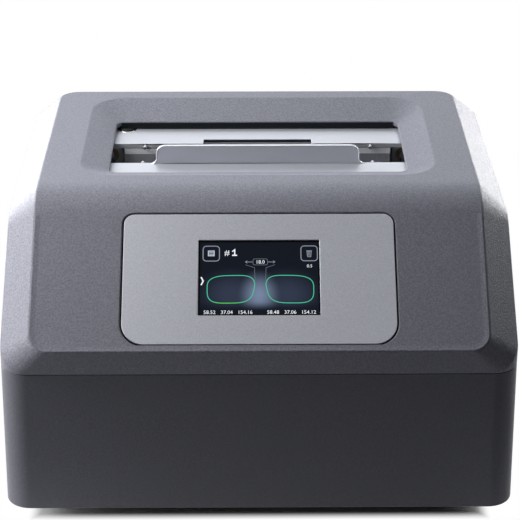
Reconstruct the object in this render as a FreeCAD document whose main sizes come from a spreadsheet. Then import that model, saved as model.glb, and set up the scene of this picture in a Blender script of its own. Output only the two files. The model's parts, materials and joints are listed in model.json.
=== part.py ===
import FreeCAD, Part
import math
import os
import re

import Sketcher
from FreeCAD import Placement, Rotation, Vector

# Tabletop tracer for spectacle frames: a wedge-faced case with a touch screen, two sliding jaws in a
# sunken opening on the top, and below them a tracing head on a cross stage.
# Frame: origin on the table under the middle of the case, X to the right, Y to the rear, Z up.

# Driving dimensions in millimetres and degrees: name, value, what it is
SIZES = (
    ("overall_width", 324.4, "across the bottom edge of the walls"),
    ("overall_depth", 288, "from the nose of the face to the bottom edge of the rear wall"),
    ("cover_height", 199, "table to the flat top"),
    ("nose_drop", 70.3, "flat top down to the nose, the lower edge of the face"),
    ("face_slope", 40, "face against the horizontal, degrees"),
    ("fold_radius", 42, "round between the face and the top"),
    ("wall_lean", 2.3, "side and rear walls lean in this much over their height"),
    ("front_lean", 3.5, "front wall leans back this much up to the seam"),
    ("edge_band", 18.7, "bevel round the face and the top, at 45 degrees"),
    ("undercut_back", 8, "nose back to the front wall"),
    ("undercut_drop", 20, "nose down to the seam"),
    ("face_corner_radius", 12, "lower corners of the face"),
    ("rear_fold_radius", 13, "rear corners of the top"),
    ("rear_corner_radius", 20, "rear upright corners"),
    ("wall_corner_radius", 16.5, "front upright corners"),
    ("nose_corner_radius", 24, "front upright corners at the height of the nose"),
    ("shell_wall", 3, "cover and housing walls"),
    ("overrun", 1, "cutting forms run this far past what they cut"),
    ("form_reach", 60, "building forms run this far past the finished faces"),
    ("skirt_reach", 5, "bevelled forms start this far above the face and the top"),
    ("skirt_depth", 215, "bevelled form of the face runs this far below it"),
    ("skirt_length", 450, "bevelled form of the face runs this far up the slope"),
    ("band_reach", 30, "bevel cut on the building forms"),
    ("flat_side", 24.7, "flat top beside the dish"),
    ("flat_front", 11.18, "flat top in front of the dish"),
    ("flat_rear", 13.25, "flat top behind the dish"),
    ("opening_radius", 6, "corners of the opening"),
    ("dish_drop", 8, "flat top down to the rim of the opening"),
    ("dish_side", 17.5, "slope at each side of the opening, in plan"),
    ("dish_front", 24, "slope in front of the opening, in plan"),
    ("dish_rear", 28, "slope behind the opening, in plan"),
    ("dish_radius", 24, "outer corners of the dish"),
    ("rim_wall", 3, "cover under the dish"),
    ("base_clear", 13.5, "table to the bottom edge of the walls"),
    ("base_inset", 11, "base plate set in from the walls"),
    ("base_skirt", 6.5, "folded edge of the base plate"),
    ("base_sheet", 1.5, "sheet of the base plate"),
    ("flange_width", 14, "inner flange of the housing, on the base plate"),
    ("foot_radius", 12, "rubber feet"),
    ("foot_inset", 30, "foot centre from the edges of the base plate"),
    ("foot_chamfer", 2, "foot edge"),
    ("bezel_width", 169, "screen plate"),
    ("bezel_length", 87.9, "screen plate, up the slope"),
    ("bezel_up", 5.2, "nose to the lower edge of the screen plate"),
    ("bezel_sheet", 1.5, "screen plate"),
    ("bezel_proud", 0.3, "screen plate stands out of the face"),
    ("bezel_gap", 1, "dark gap round the screen plate"),
    ("bezel_top_radius", 6.5, "upper corners of the screen plate"),
    ("bezel_low_radius", 14, "lower corners of the screen plate"),
    ("window_width", 75.4, "window of the screen"),
    ("window_length", 51, "window of the screen, up the slope"),
    ("window_up", 24.2, "nose to the lower edge of the window"),
    ("glass_lap", 1.5, "touch glass under the edge of the window"),
    ("glass_sheet", 1.1, "touch glass"),
    ("module_lap", 4, "display module past the window"),
    ("module_depth", 7, "display module"),
    ("bracket_sheet", 2, "display bracket"),
    ("bracket_ear", 12, "ears of the display bracket"),
    ("bracket_post_radius", 4, "posts between the cover and the bracket"),
    ("play", 0.3, "gap round a piece that sits in a cut-out"),
    ("run_gap", 0.05, "radial clearance of a running fit"),
    ("jaw_gap", 34, "space between the jaws at rest"),
    ("jaw_drop", 2, "underside of the rim down to the jaws"),
    ("jaw_sheet", 3.2, "jaw plates"),
    ("jaw_rear_clear", 31, "rear end of the rear jaw to the bottom edge of the rear wall"),
    ("jaw_side", 3, "jaw plate to the side plate"),
    ("lip_height", 13.3, "upright lip on the front jaw"),
    ("lip_wall", 2, "upright lip"),
    ("lip_width", 137, "upright lip"),
    ("lip_radius", 6, "upper corners of the lip"),
    ("lip_flare", 4, "rounds where the ends of the lip meet the ledge"),
    ("notch_width", 75, "notch in the rear jaw"),
    ("notch_depth", 8.6, "notch in the rear jaw"),
    ("jaw_corner_radius", 6, "jaw plate corners"),
    ("grip_height", 11.2, "grip block under the rear jaw"),
    ("grip_depth", 8, "grip block, front to rear"),
    ("grip_side", 16.5, "grip block to the end of the jaw"),
    ("grip_set_back", 0.6, "grip block behind the edge of the jaw"),
    ("plug_side", 17, "plug centre to the end of the jaw"),
    ("plug_set_back", 29.2, "plug centre behind the front edge of the rear jaw"),
    ("plug_radius", 5.6, "black plug in the rear jaw"),
    ("plug_ring", 1.2, "bright ring round the plug"),
    ("plug_height", 1.2, "plug above the jaw"),
    ("jaw_rod_radius", 4, "rods that guide the jaws"),
    ("jaw_rod_side", 9, "jaw rod to the side plate"),
    ("jaw_rod_drop", 14, "jaw top down to the rod axis"),
    ("jaw_rod_front_clear", 86, "nose to the front end of the jaw rods"),
    ("jaw_rod_rear_clear", 16, "rear end of the jaw rods to the bottom edge of the rear wall"),
    ("boss_short", 16, "jaw boss to the far end of its jaw plate"),
    ("boss_set_back", 14, "jaw edge to its boss"),
    ("boss_wall", 2.9, "bosses beside their bushes"),
    ("bush_wall", 1.5, "plain bushes"),
    ("block_length", 10, "blocks at the rod ends"),
    ("rim_pin_radius", 1.25, "pins that hold the rim"),
    ("rim_pin_length", 4, "pins past the jaw edge"),
    ("rim_pin_root", 5, "pins inside the jaw"),
    ("rim_pin_across", 42, "first pair of rim pins from the middle"),
    ("rim_pin_step", 18, "between neighbouring rim pins"),
    ("gear_module", 1, "jaw pinion and turntable teeth"),
    ("gear_backlash", 0.16, "play between meshing teeth"),
    ("dedendum_share", 1.25, "tooth root below the pitch line, in modules"),
    ("pressure_angle", 20, "gear teeth, degrees"),
    ("jaw_pinion_side", 24, "jaw pinion to the side plate"),
    ("rack_height", 8, "jaw racks"),
    ("rack_back", 4, "rack behind its teeth"),
    ("rack_lap", 18, "racks past the pinion axis"),
    ("pinion_short", 0.6, "pinions thinner than their racks, each side"),
    ("motor_shaft_radius", 2.5, "shafts of the small motors"),
    ("jaw_motor_radius", 14, "jaw motor"),
    ("jaw_motor_length", 32, "jaw motor"),
    ("shaft_seat", 12, "pinion shafts inside their motors"),
    ("motor_neck", 5, "mounting plate up to the jaw pinion"),
    ("chassis_side", 50.2, "side plate to the bottom edge of the side wall"),
    ("chassis_sheet", 4, "side plates"),
    ("chassis_front_clear", 82, "nose to the front edge of a side plate"),
    ("chassis_rear_clear", 12, "rear edge of a side plate to the bottom edge of the rear wall"),
    ("chassis_rod_edge", 16, "rear stage rod to the cut-back lower rear edge"),
    ("chassis_step_height", 105, "top of the cut-back"),
    ("chassis_slant", 30, "slanted edge above the cut-back"),
    ("chassis_above", 10, "side plate above the jaw rods"),
    ("chassis_foot", 14, "foot flange of a side plate"),
    ("chassis_window", 22, "edge left round the window in a side plate"),
    ("stage_rod_radius", 5, "rods of the cross stage"),
    ("stage_rod_apart", 72, "between the stage rods"),
    ("stage_height", 64, "table to the stage rods"),
    ("carriage_half", 62, "carriage plate along the stage"),
    ("carriage_depth", 92, "carriage plate, front to rear"),
    ("carriage_sheet", 8, "carriage plate"),
    ("stage_boss", 10, "stage rod axis to the underside of the plate"),
    ("stage_boss_length", 48, "boss of the carriage along a rod"),
    ("screw_radius", 4, "lead screw"),
    ("screw_set", 20, "lead screw behind the middle"),
    ("nut_radius", 8, "nut of the lead screw"),
    ("nut_length", 16, "nut of the lead screw"),
    ("nut_across", 26, "nut centre to the left of the carriage middle"),
    ("screw_motor_side", 42, "stage motor"),
    ("screw_motor_length", 34, "stage motor"),
    ("screw_motor_corner", 4, "stage motor corners"),
    ("screw_bearing_radius", 8, "end bearing of the lead screw"),
    ("turntable_teeth", 72, "teeth of the turntable"),
    ("turntable_sheet", 8, "toothed rim"),
    ("turntable_hub_radius", 24, "hub in the bearing"),
    ("turntable_bearing_wall", 5, "turntable bearing ring"),
    ("turntable_lift", 2, "carriage plate to the toothed rim"),
    ("pinion_teeth", 18, "teeth of the turntable pinion"),
    ("jaw_pinion_teeth", 20, "teeth of the jaw pinion"),
    ("turn_motor_side", 28, "turntable motor"),
    ("turn_motor_length", 26, "turntable motor"),
    ("turn_motor_corner", 3, "turntable motor corners"),
    ("radial_rod_radius", 2.5, "rods of the radial slide"),
    ("radial_rod_apart", 26, "between the radial rods"),
    ("radial_rod_above", 10, "toothed rim up to the radial rods"),
    ("end_block_across", 31, "turntable axis to an end block"),
    ("end_block_wall", 5, "end block along the slide"),
    ("end_block_depth", 34, "end block across the slide"),
    ("end_block_height", 15, "end block"),
    ("slide_length", 22, "radial slide"),
    ("slide_depth", 36, "radial slide, across"),
    ("slide_height", 14, "radial slide"),
    ("slide_rest", 14, "radial slide rests this far left of the axis"),
    ("tower_side", 16, "tower of the radial slide"),
    ("tower_height", 30, "tower of the radial slide"),
    ("column_radius", 3, "stylus column"),
    ("column_length", 58, "stylus column"),
    ("column_seat", 7, "foot of the stylus column above the slide's underside"),
    ("head_length", 14, "stylus head"),
    ("head_side", 10, "stylus head"),
    ("tip_radius", 1, "stylus tip"),
    ("tip_length", 12, "stylus tip past the head"),
    ("tip_ball_radius", 1.6, "ball of the stylus tip"),
    ("radial_module", 0.8, "radial rack and encoder teeth"),
    ("encoder_teeth", 16, "teeth of the encoder pinion"),
    ("radial_rack_height", 5, "radial rack"),
    ("radial_travel", 28, "travel of the radial slide"),
    ("radial_rack_lap", 7, "radial rack past the encoder at either end of the travel"),
    ("radial_rack_back", 2, "radial rack behind its teeth"),
    ("encoder_radius", 5, "encoder"),
    ("encoder_height", 8, "encoder"),
    ("board_side", 37, "main board to the side plate"),
    ("board_depth", 104, "main board, front to rear"),
    ("board_sheet", 1.6, "main board"),
    ("board_lift", 6, "standoffs of the main board"),
    ("standoff_radius", 3, "standoffs of the main board"),
    ("standoff_inset", 5, "standoffs from the edges of the main board"),
    ("chip_side", 18, "largest chip"),
    ("chip_height", 2.2, "chips"),
    ("supply_length", 110, "power supply, front to rear"),
    ("supply_width", 30, "power supply"),
    ("supply_height", 48, "power supply"),
    ("panel_sheet", 1.5, "connector panel"),
    ("panel_width", 128, "connector panel"),
    ("panel_height", 62, "connector panel"),
    ("panel_side", 86.2, "middle of the connector panel to the bottom edge of the side wall"),
    ("panel_set", 2, "connector panel in front of the rear wall"),
    ("panel_window_margin", 7, "panel edge hidden behind the rear wall"),
    ("panel_middle_height", 46, "table to the row of connectors"),
    ("inlet_step", 36, "power inlet from the middle of the panel"),
    ("inlet_width", 28, "power inlet"),
    ("inlet_height", 20, "power inlet"),
    ("inlet_depth", 26, "power inlet behind the panel"),
    ("inlet_wall", 1.8, "power inlet round its socket"),
    ("inlet_socket_depth", 15, "power inlet socket"),
    ("inlet_flange", 3, "flange of the inlet, each way"),
    ("flange_sheet", 2, "flanges of the inlet and the switch"),
    ("inlet_pin_side", 2, "pins of the inlet"),
    ("inlet_pin_length", 9, "pins of the inlet"),
    ("inlet_pin_step", 7, "between the pins of the inlet"),
    ("switch_step", 2, "rocker switch from the middle of the panel"),
    ("switch_width", 13, "rocker"),
    ("switch_height", 19, "rocker"),
    ("switch_depth", 16, "switch frame behind the panel"),
    ("switch_wall", 2, "switch frame"),
    ("rocker_pivot", 3, "rocker axis inside the panel face"),
    ("rocker_front", 6, "rocker axis to the ends of its face"),
    ("rocker_valley", 3.4, "rocker axis to the middle of its face"),
    ("rocker_back", 4, "rocker behind its axis"),
    ("rocker_tilt", 10, "rest position of the rocker, degrees"),
    ("port_step", 38, "data port from the middle of the panel"),
    ("port_width", 16, "data port"),
    ("port_height", 14, "data port"),
    ("port_depth", 18, "data port"),
    ("port_wall", 1.5, "data port"),
    ("port_socket_depth", 11, "data port socket"),
    ("vent_count", 9, "vent slots in the rear wall"),
    ("vent_step", 9, "between vent slots"),
    ("vent_width", 3.5, "vent slot"),
    ("vent_height", 34, "vent slot"),
    ("vent_side", 86.2, "middle of the vent slots to the bottom edge of the side wall"),
    ("vent_low", 34, "table to the vent slots"),
)

# Sizes and places that follow from the driving dimensions
DERIVED = {
    "half_width": "overall_width / 2",
    "half_depth": "overall_depth / 2",
    "nose_y": "-overall_depth / 2",
    "nose_z": "cover_height - nose_drop",
    "seam_z": "nose_z - undercut_drop",
    "face_half": "half_width - wall_lean - edge_band",
    "top_back": "half_depth - wall_lean - edge_band",
    "seam_up": "undercut_back * cos(face_slope) - undercut_drop * sin(face_slope)",
    "seam_in": "undercut_back * sin(face_slope) + undercut_drop * cos(face_slope)",
    "seam_lean": "wall_lean * (seam_z - base_clear) / (cover_height - base_clear)",
    "front_seam_y": "nose_y + undercut_back",
    "front_foot_y": "nose_y + undercut_back - front_lean",
    "fold_end_y": "nose_y + nose_drop / tan(face_slope) + fold_radius * tan(face_slope / 2)",
    "dish_low": "fold_end_y + flat_front",
    "dish_high": "top_back - flat_rear",
    "dish_half": "face_half - flat_side",
    "opening_half": "dish_half - dish_side",
    "opening_low": "dish_low + dish_front",
    "opening_high": "dish_high - dish_rear",
    "middle_y": "(opening_low + opening_high) / 2",
    "rim_z": "cover_height - dish_drop",
    "rim_under": "rim_z - rim_wall",
    "jaw_top": "rim_under - jaw_drop",
    "jaw_under": "jaw_top - jaw_sheet",
    "front_edge_y": "middle_y - jaw_gap / 2",
    "rear_edge_y": "middle_y + jaw_gap / 2",
    "jaw_reach": "half_depth - jaw_rear_clear - rear_edge_y",
    "jaw_half_width": "chassis_half - jaw_side",
    "grip_half_width": "jaw_half_width - grip_side",
    "plug_across": "jaw_half_width - plug_side",
    "jaw_rod_across": "chassis_half - jaw_rod_side",
    "jaw_rod_start": "nose_y + jaw_rod_front_clear",
    "jaw_rod_end": "half_depth - jaw_rod_rear_clear",
    "jaw_rod_z": "jaw_top - jaw_rod_drop",
    "boss_length": "jaw_reach - boss_set_back - boss_short",
    "boss_half": "jaw_rod_radius + run_gap + bush_wall + boss_wall",
    "boss_under": "jaw_rod_z - jaw_rod_radius - run_gap - bush_wall - boss_wall / 2",
    "rack_top": "boss_under - play",
    "rack_low": "rack_top - rack_height",
    "jaw_pinion_across": "chassis_half - jaw_pinion_side",
    "jaw_pitch_radius": "gear_module * jaw_pinion_teeth / 2",
    "pinion_low": "rack_low + pinion_short",
    "jaw_motor_top": "pinion_low - motor_neck",
    "base_top": "base_clear",
    "base_half": "half_width - base_inset",
    "base_front": "front_foot_y + base_inset",
    "base_rear": "half_depth - base_inset",
    "chassis_half": "half_width - chassis_side",
    "chassis_start": "nose_y + chassis_front_clear",
    "chassis_step": "stage_rear_y + chassis_rod_edge",
    "chassis_end": "half_depth - chassis_rear_clear",
    "chassis_top": "jaw_rod_z + chassis_above",
    "stage_front_y": "middle_y - stage_rod_apart / 2",
    "stage_rear_y": "middle_y + stage_rod_apart / 2",
    "plate_low": "stage_height + stage_boss",
    "plate_top": "plate_low + carriage_sheet",
    "screw_y": "middle_y + screw_set",
    "rim_low": "plate_top + turntable_lift",
    "rim_top": "rim_low + turntable_sheet",
    "turn_pitch": "gear_module * (turntable_teeth + pinion_teeth) / 2",
    "radial_rod_z": "rim_top + radial_rod_above",
    "slide_low": "radial_rod_z - slide_height / 2",
    "column_low": "slide_low + column_seat",
    "column_top": "column_low + column_length",
    "tip_z": "column_top + head_side / 2",
    "encoder_pitch_radius": "radial_module * encoder_teeth / 2",
    "radial_pitch_y": "middle_y - slide_depth / 2 - radial_rack_back - dedendum_share * radial_module",
    "encoder_y": "radial_pitch_y - encoder_pitch_radius",
    "radial_rack_low": "slide_low + (slide_height - radial_rack_height) / 2",
    "board_length": "2 * (chassis_half - board_side)",
    "board_low": "base_top + board_lift",
    "board_top": "board_low + board_sheet",
    "rear_wall_in": "half_depth - seam_lean - shell_wall",
    "panel_y": "rear_wall_in - panel_set",
    "panel_across": "half_width - panel_side",
    "inlet_across": "panel_across + inlet_step",
    "switch_across": "panel_across - switch_step",
    "port_across": "panel_across - port_step",
    "vent_across": "half_width - vent_side",
    "module_low": "bezel_proud - bezel_sheet - glass_sheet - module_depth",
    "bracket_low": "module_low - bracket_sheet",
}

doc = FreeCAD.newDocument("FrameTracer")
sheet = doc.addObject("Spreadsheet::Sheet", "Sizes")
CELLS = set()
for row, (name, number, meaning) in enumerate(SIZES, start=1):
    sheet.set(f"A{row}", name)
    sheet.set(f"B{row}", str(number))
    sheet.set(f"C{row}", meaning)
    sheet.setAlias(f"B{row}", name)
    CELLS.add(name)
doc.recompute()

PARTS = {}


def formula(text):
    """Writes a rule in sheet terms: a driving name becomes its cell, a derived name its own rule."""

    def replace(match):
        word = match.group(0)
        if word in DERIVED:
            return "(" + formula(DERIVED[word]) + ")"
        return "Sizes." + word if word in CELLS else word

    return re.sub(r"[A-Za-z_][A-Za-z_0-9]*", replace, str(text))


def value(text):
    """The number that a rule gives now."""
    return float(sheet.evalExpression(formula(text)))


def bind(thing, **rules):
    """Binds properties of a document object to rules; a double underscore stands for a dot."""
    for key, rule in rules.items():
        thing.setExpression(key.replace("__", "."), formula(rule))
    return thing


def place(thing, x="0", y="0", z="0", turn=None):
    """Puts an object at a place given by rules, after an optional turn."""
    if turn:
        thing.Placement = Placement(Vector(), turn)
    return bind(thing, Placement__Base__x=x, Placement__Base__y=y, Placement__Base__z=z)


def on_face(thing, up="0", out="0", across="0"):
    """Lays an object on the sloped face: its Y runs up the slope from the nose, its Z out of the face."""
    thing.Placement = Placement(Vector(), Rotation(Vector(1, 0, 0), value("face_slope")))
    thing.setExpression("Placement.Rotation.Angle", formula("face_slope"))
    return bind(
        thing,
        Placement__Base__x=across,
        Placement__Base__y=f"nose_y + ({up}) * cos(face_slope) - ({out}) * sin(face_slope)",
        Placement__Base__z=f"nose_z + ({up}) * sin(face_slope) + ({out}) * cos(face_slope)",
    )


def keep(node, thing):
    """Names a finished sub-part."""
    thing.Label = node
    PARTS[node] = thing
    return thing


def box(name, x, y, z, length, width, height):
    """A block from its low corner."""
    block = doc.addObject("Part::Box", name)
    bind(block, Length=length, Width=width, Height=height)
    return place(block, x, y, z)


def middle_box(name, x, y, z, length, width, height):
    """A block centred on x and y, standing on z."""
    return box(name, f"({x}) - ({length}) / 2", f"({y}) - ({width}) / 2", z, length, width, height)


AXIS_TURN = {
    "X": Rotation(Vector(0, 1, 0), 90),
    "Y": Rotation(Vector(1, 0, 0), -90),
    "Z": Rotation(),
}


def cylinder(name, axis, x, y, z, radius, length):
    """A cylinder that starts at a place and runs along an axis."""
    rod = doc.addObject("Part::Cylinder", name)
    bind(rod, Radius=radius, Height=length)
    return place(rod, x, y, z, AXIS_TURN[axis])


def fuse(name, *pieces):
    joined = doc.addObject("Part::MultiFuse", name)
    joined.Shapes = list(pieces)
    joined.Refine = True
    return joined


def common(name, first, second):
    shared = doc.addObject("Part::MultiCommon", name)
    shared.Shapes = [first, second]
    return shared


def cut(name, base, *tools):
    result = doc.addObject("Part::Cut", name)
    result.Base = base
    result.Tool = tools[0] if len(tools) == 1 else fuse(name + "_tools", *tools)
    return result


def group(name, *pieces):
    """Separate solids that share one node."""
    gathered = doc.addObject("Part::Compound", name)
    gathered.Links = list(pieces)
    return gathered


class Form:
    """A body built from sketches and features."""

    def __init__(self, name):
        self.body = doc.addObject("PartDesign::Body", name)
        self.name = name
        self.steps = 0

    def add(self, kind):
        self.steps += 1
        return self.body.newObject(kind, f"{self.name}_{self.steps}")

    def sketch(self, role, lift="0"):
        """A sketch on one of the body's own planes, lifted along the plane's normal."""
        drawing = self.add("Sketcher::SketchObject")
        plane = [item for item in self.body.Origin.OriginFeatures if item.Role == role + "_Plane"][0]
        drawing.AttachmentSupport = [(plane, "")]
        drawing.MapMode = "FlatFace"
        return bind(drawing, AttachmentOffset__Base__z=lift)

    def outline(self, role, points, lift="0"):
        """A closed outline of straight edges through points given by rules."""
        drawing = self.sketch(role, lift)
        spots = [Vector(value(u), value(v), 0) for u, v in points]
        for index, spot in enumerate(spots):
            drawing.addGeometry(Part.LineSegment(spot, spots[(index + 1) % len(spots)]), False)
        for index in range(len(spots)):
            drawing.addConstraint(
                Sketcher.Constraint("Coincident", index, 2, (index + 1) % len(spots), 1)
            )
        for index, (u, v) in enumerate(points):
            pin_point(drawing, index, 1, u, v)
        return drawing

    def rounded(self, role, left, low, right, high, radii, lift="0"):
        """A rectangle with rounded corners; radii run from the lower left corner round to the upper left."""
        drawing = self.sketch(role, lift)
        x0, y0, x1, y1 = (value(rule) for rule in (left, low, right, high))
        r0, r1, r2, r3 = (value(rule) for rule in radii)
        lines = (
            ((x0 + r0, y0), (x1 - r1, y0)),
            ((x1, y0 + r1), (x1, y1 - r2)),
            ((x1 - r2, y1), (x0 + r3, y1)),
            ((x0, y1 - r3), (x0, y0 + r0)),
        )
        arcs = (
            (x1 - r1, y0 + r1, r1, -90),
            (x1 - r2, y1 - r2, r2, 0),
            (x0 + r3, y1 - r3, r3, 90),
            (x0 + r0, y0 + r0, r0, 180),
        )
        for (start, end), (u, v, radius, angle) in zip(lines, arcs):
            drawing.addGeometry(Part.LineSegment(Vector(*start, 0), Vector(*end, 0)), False)
            circle = Part.Circle(Vector(u, v, 0), Vector(0, 0, 1), radius)
            arc = Part.ArcOfCircle(circle, math.radians(angle), math.radians(angle + 90))
            drawing.addGeometry(arc, False)
        for corner in range(4):
            line, arc, after = 2 * corner, 2 * corner + 1, (2 * corner + 2) % 8
            drawing.addConstraint(Sketcher.Constraint("Tangent", line, 2, arc, 1))
            drawing.addConstraint(Sketcher.Constraint("Tangent", arc, 2, after, 1))
            rule = radii[(corner + 1) % 4]
            number = drawing.addConstraint(Sketcher.Constraint("Radius", arc, value(rule)))
            drawing.setExpression(f"Constraints[{number}]", formula(rule))
        for line, kind in ((0, "Horizontal"), (2, "Vertical"), (4, "Horizontal"), (6, "Vertical")):
            drawing.addConstraint(Sketcher.Constraint(kind, line))
        for line, kind, rule in (
            (0, "DistanceY", low),
            (2, "DistanceX", right),
            (4, "DistanceY", high),
            (6, "DistanceX", left),
        ):
            number = drawing.addConstraint(Sketcher.Constraint(kind, line, 1, value(rule)))
            drawing.setExpression(f"Constraints[{number}]", formula(rule))
        return drawing

    def pad(self, drawing, length, both=False, back=False):
        solid = self.add("PartDesign::Pad")
        solid.Profile = drawing
        bind(solid, Length=length)
        solid.Midplane = both
        solid.Reversed = back
        return self.done()

    def pocket(self, drawing, length, both=False, back=False):
        hollow = self.add("PartDesign::Pocket")
        hollow.Profile = drawing
        bind(hollow, Length=length)
        hollow.Midplane = both
        hollow.Reversed = back
        return self.done()

    def loft(self, first, second, hollow=False):
        skin = self.add("PartDesign::SubtractiveLoft" if hollow else "PartDesign::AdditiveLoft")
        skin.Profile = first
        skin.Sections = [second]
        skin.Ruled = True
        return self.done()

    def dress(self, kind, size, wanted):
        """Rounds or bevels the edges of the form that a test picks."""
        base = self.body.Tip
        names = [f"Edge{n}" for n, edge in enumerate(base.Shape.Edges, start=1) if wanted(edge)]
        finish = self.add("PartDesign::" + kind)
        finish.Base = (base, names)
        bind(finish, **{"Radius" if kind == "Fillet" else "Size": size})
        return self.done()

    def done(self):
        doc.recompute()
        return self


def pin_point(drawing, index, end, u, v):
    """Ties a point of a sketch to two rules."""
    for kind, rule in (("DistanceX", u), ("DistanceY", v)):
        number = drawing.addConstraint(Sketcher.Constraint(kind, index, end, value(rule)))
        drawing.setExpression(f"Constraints[{number}]", formula(rule))


def same(first, second):
    """True where two lengths agree within the size of a drawing error."""
    return abs(first - second) < value("run_gap")


def along(edge, axis):
    """True for a straight edge that runs along X, Y or Z."""
    spans = {"X": edge.BoundBox.XLength, "Y": edge.BoundBox.YLength, "Z": edge.BoundBox.ZLength}
    return spans.pop(axis) > value("run_gap") and all(same(span, 0) for span in spans.values())


def wedge(name, inset):
    """Sloped face, fold and flat top, bevelled along both sides, each face set in by inset."""
    tip = f"(cover_height - nose_z - ({inset}) + ({inset}) / cos(face_slope)) / tan(face_slope)"
    front = "nose_y - form_reach"
    front_z = f"nose_z - form_reach * tan(face_slope) - ({inset}) / cos(face_slope)"
    rear = "top_back + form_reach"
    top = f"cover_height - ({inset})"
    floor = "seam_z - form_reach"
    half = f"face_half + band_reach - ({inset}) * (sqrt(2) - 1)"
    form = Form(name)
    profile = [(front, floor), (front, front_z), (f"nose_y + {tip}", top), (rear, top), (rear, floor)]
    form.pad(form.outline("YZ", profile), f"2 * ({half})", both=True)
    fold_y = value(f"nose_y + {tip}")
    form.dress(
        "Fillet",
        f"fold_radius - ({inset})",
        lambda edge: along(edge, "X") and same(edge.BoundBox.YMin, fold_y),
    )
    front_y, rear_y, low_z, side_x = value(front), value(rear), value(floor), value(half)

    def on_rim(edge):
        centre = edge.BoundBox.Center
        inside = not same(centre.y, front_y) and not same(centre.y, rear_y) and not same(centre.z, low_z)
        return inside and same(abs(centre.x), side_x)

    form.dress("Chamfer", "band_reach", on_rim)
    return form.body


def face_skirt(name, inset):
    """Bevel and undercut round the lower end of the face, carried round its corners, square to the face."""
    form = Form(name)
    drawings = []
    for out in ("skirt_reach", "-skirt_depth"):
        side = f"face_half - ({out}) - ({inset}) * sqrt(2)"
        low = (f"({inset}) * sqrt(1 + seam_up * seam_up / (seam_in * seam_in))"
               f" - ({out}) * seam_up / seam_in")
        corner = (f"face_corner_radius - ({out}) * (wall_corner_radius - face_corner_radius) / seam_in"
                  f" - ({inset})")
        radii = [corner, corner, "overrun", "overrun"]
        drawings.append(form.rounded("XY", f"-({side})", low, side, "skirt_length", radii, out))
    form.loft(*drawings)
    return on_face(form.body)


def top_skirt(name, inset):
    """Bevel behind the top, carried round its rear corners."""
    form = Form(name)
    drawings = []
    for drop in ("-skirt_reach", "cover_height - seam_z + overrun"):
        side = f"face_half + ({drop}) - ({inset}) * sqrt(2)"
        rear = f"top_back + ({drop}) - ({inset}) * sqrt(2)"
        corner = (f"rear_fold_radius + ({drop}) * (rear_corner_radius - rear_fold_radius) / edge_band"
                  f" - ({inset})")
        drawings.append(form.rounded("XY", f"-({side})", "nose_y - form_reach", side, rear,
                                     ["overrun", "overrun", corner, corner],
                                     f"cover_height - ({drop})"))
    form.loft(*drawings)
    return form.body


def leaning_walls(name, inset, low, high, front_low, front_high, low_corner, high_corner):
    """A block between two heights whose sides and rear lean in as the walls of the case do."""
    form = Form(name)
    drawings = []
    for level, front, corner in ((low, front_low, low_corner), (high, front_high, high_corner)):
        lean = f"wall_lean * (({level}) - base_clear) / (cover_height - base_clear)"
        side = f"half_width - {lean} - ({inset})"
        radii = (corner, corner, "rear_corner_radius", "rear_corner_radius")
        radii = [f"{radius} - ({inset})" for radius in radii]
        rear = f"half_depth - {lean} - ({inset})"
        drawings.append(form.rounded("XY", f"-({side})", front, side, rear, radii, level))
    form.loft(*drawings)
    return form.body


def cover_form(name, inset, low):
    """Outside of the upper cover, or its inside when set in by the wall."""
    lean = "undercut_back / undercut_drop"
    growth = "(nose_corner_radius - wall_corner_radius) / undercut_drop"
    levels = (low, "cover_height + overrun")
    fronts = [
        f"nose_y + (nose_z - ({level})) * {lean} + ({inset}) * sqrt(1 + ({lean}) * ({lean}))"
        for level in levels
    ]
    corners = [f"wall_corner_radius + (({level}) - seam_z) * {growth}" for level in levels]
    walls = leaning_walls(f"{name}_walls", inset, *levels, *fronts, *corners)
    shape = common(f"{name}_top", walls, top_skirt(f"{name}_top_skirt", inset))
    shape = common(f"{name}_face", shape, face_skirt(f"{name}_face_skirt", inset))
    return common(name, shape, wedge(f"{name}_wedge", inset))


def upper_cover():
    outer = cover_form("cover_outer", "0", "seam_z")
    inner = cover_form("cover_inner", "shell_wall", "seam_z - overrun")
    tray = box(
        "dish_tray", "-dish_half - rim_wall", "dish_low - rim_wall", "rim_under",
        "2 * (dish_half + rim_wall)", "dish_high - dish_low + 2 * rim_wall", "dish_drop + rim_wall",
    )
    dish = Form("dish")
    rim = ["opening_radius"] * 4
    sides = ("-opening_half", "opening_low", "opening_half", "opening_high")
    dish.loft(
        dish.rounded("XY", *sides, rim, "rim_z"),
        dish.rounded("XY", "-dish_half", "dish_low", "dish_half", "dish_high", ["dish_radius"] * 4,
                     "cover_height"),
    )
    mouth = Form("mouth")
    mouth.pad(mouth.rounded("XY", *sides, rim, "rim_under - overrun"), "rim_wall + 2 * overrun")
    recess = Form("bezel_recess")
    recess.pad(bezel_outline(recess, "bezel_gap"), "bezel_sheet + overrun")
    on_face(recess.body, out="bezel_proud - bezel_sheet")
    hole = box("screen_hole", "0", "0", "0", "window_width + 2 * module_lap + 2 * play",
               "window_length + 2 * module_lap + 2 * play", "shell_wall + overrun")
    on_face(hole, "window_up - module_lap - play", "-shell_wall - overrun",
            "-window_width / 2 - module_lap - play")
    cavity = cut("cover_cavity", inner, tray)
    keep("upper_cover", cut("cover", outer, cavity, dish.body, mouth.body, recess.body, hole))


def bezel_outline(form, gap):
    """Outline of the screen plate, grown by a gap."""
    radii = ["bezel_low_radius"] * 2 + ["bezel_top_radius"] * 2
    return form.rounded(
        "XY", f"-bezel_width / 2 - ({gap})", f"bezel_up - ({gap})", f"bezel_width / 2 + ({gap})",
        f"bezel_up + bezel_length + ({gap})", [f"{radius} + ({gap})" for radius in radii],
    )


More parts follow.
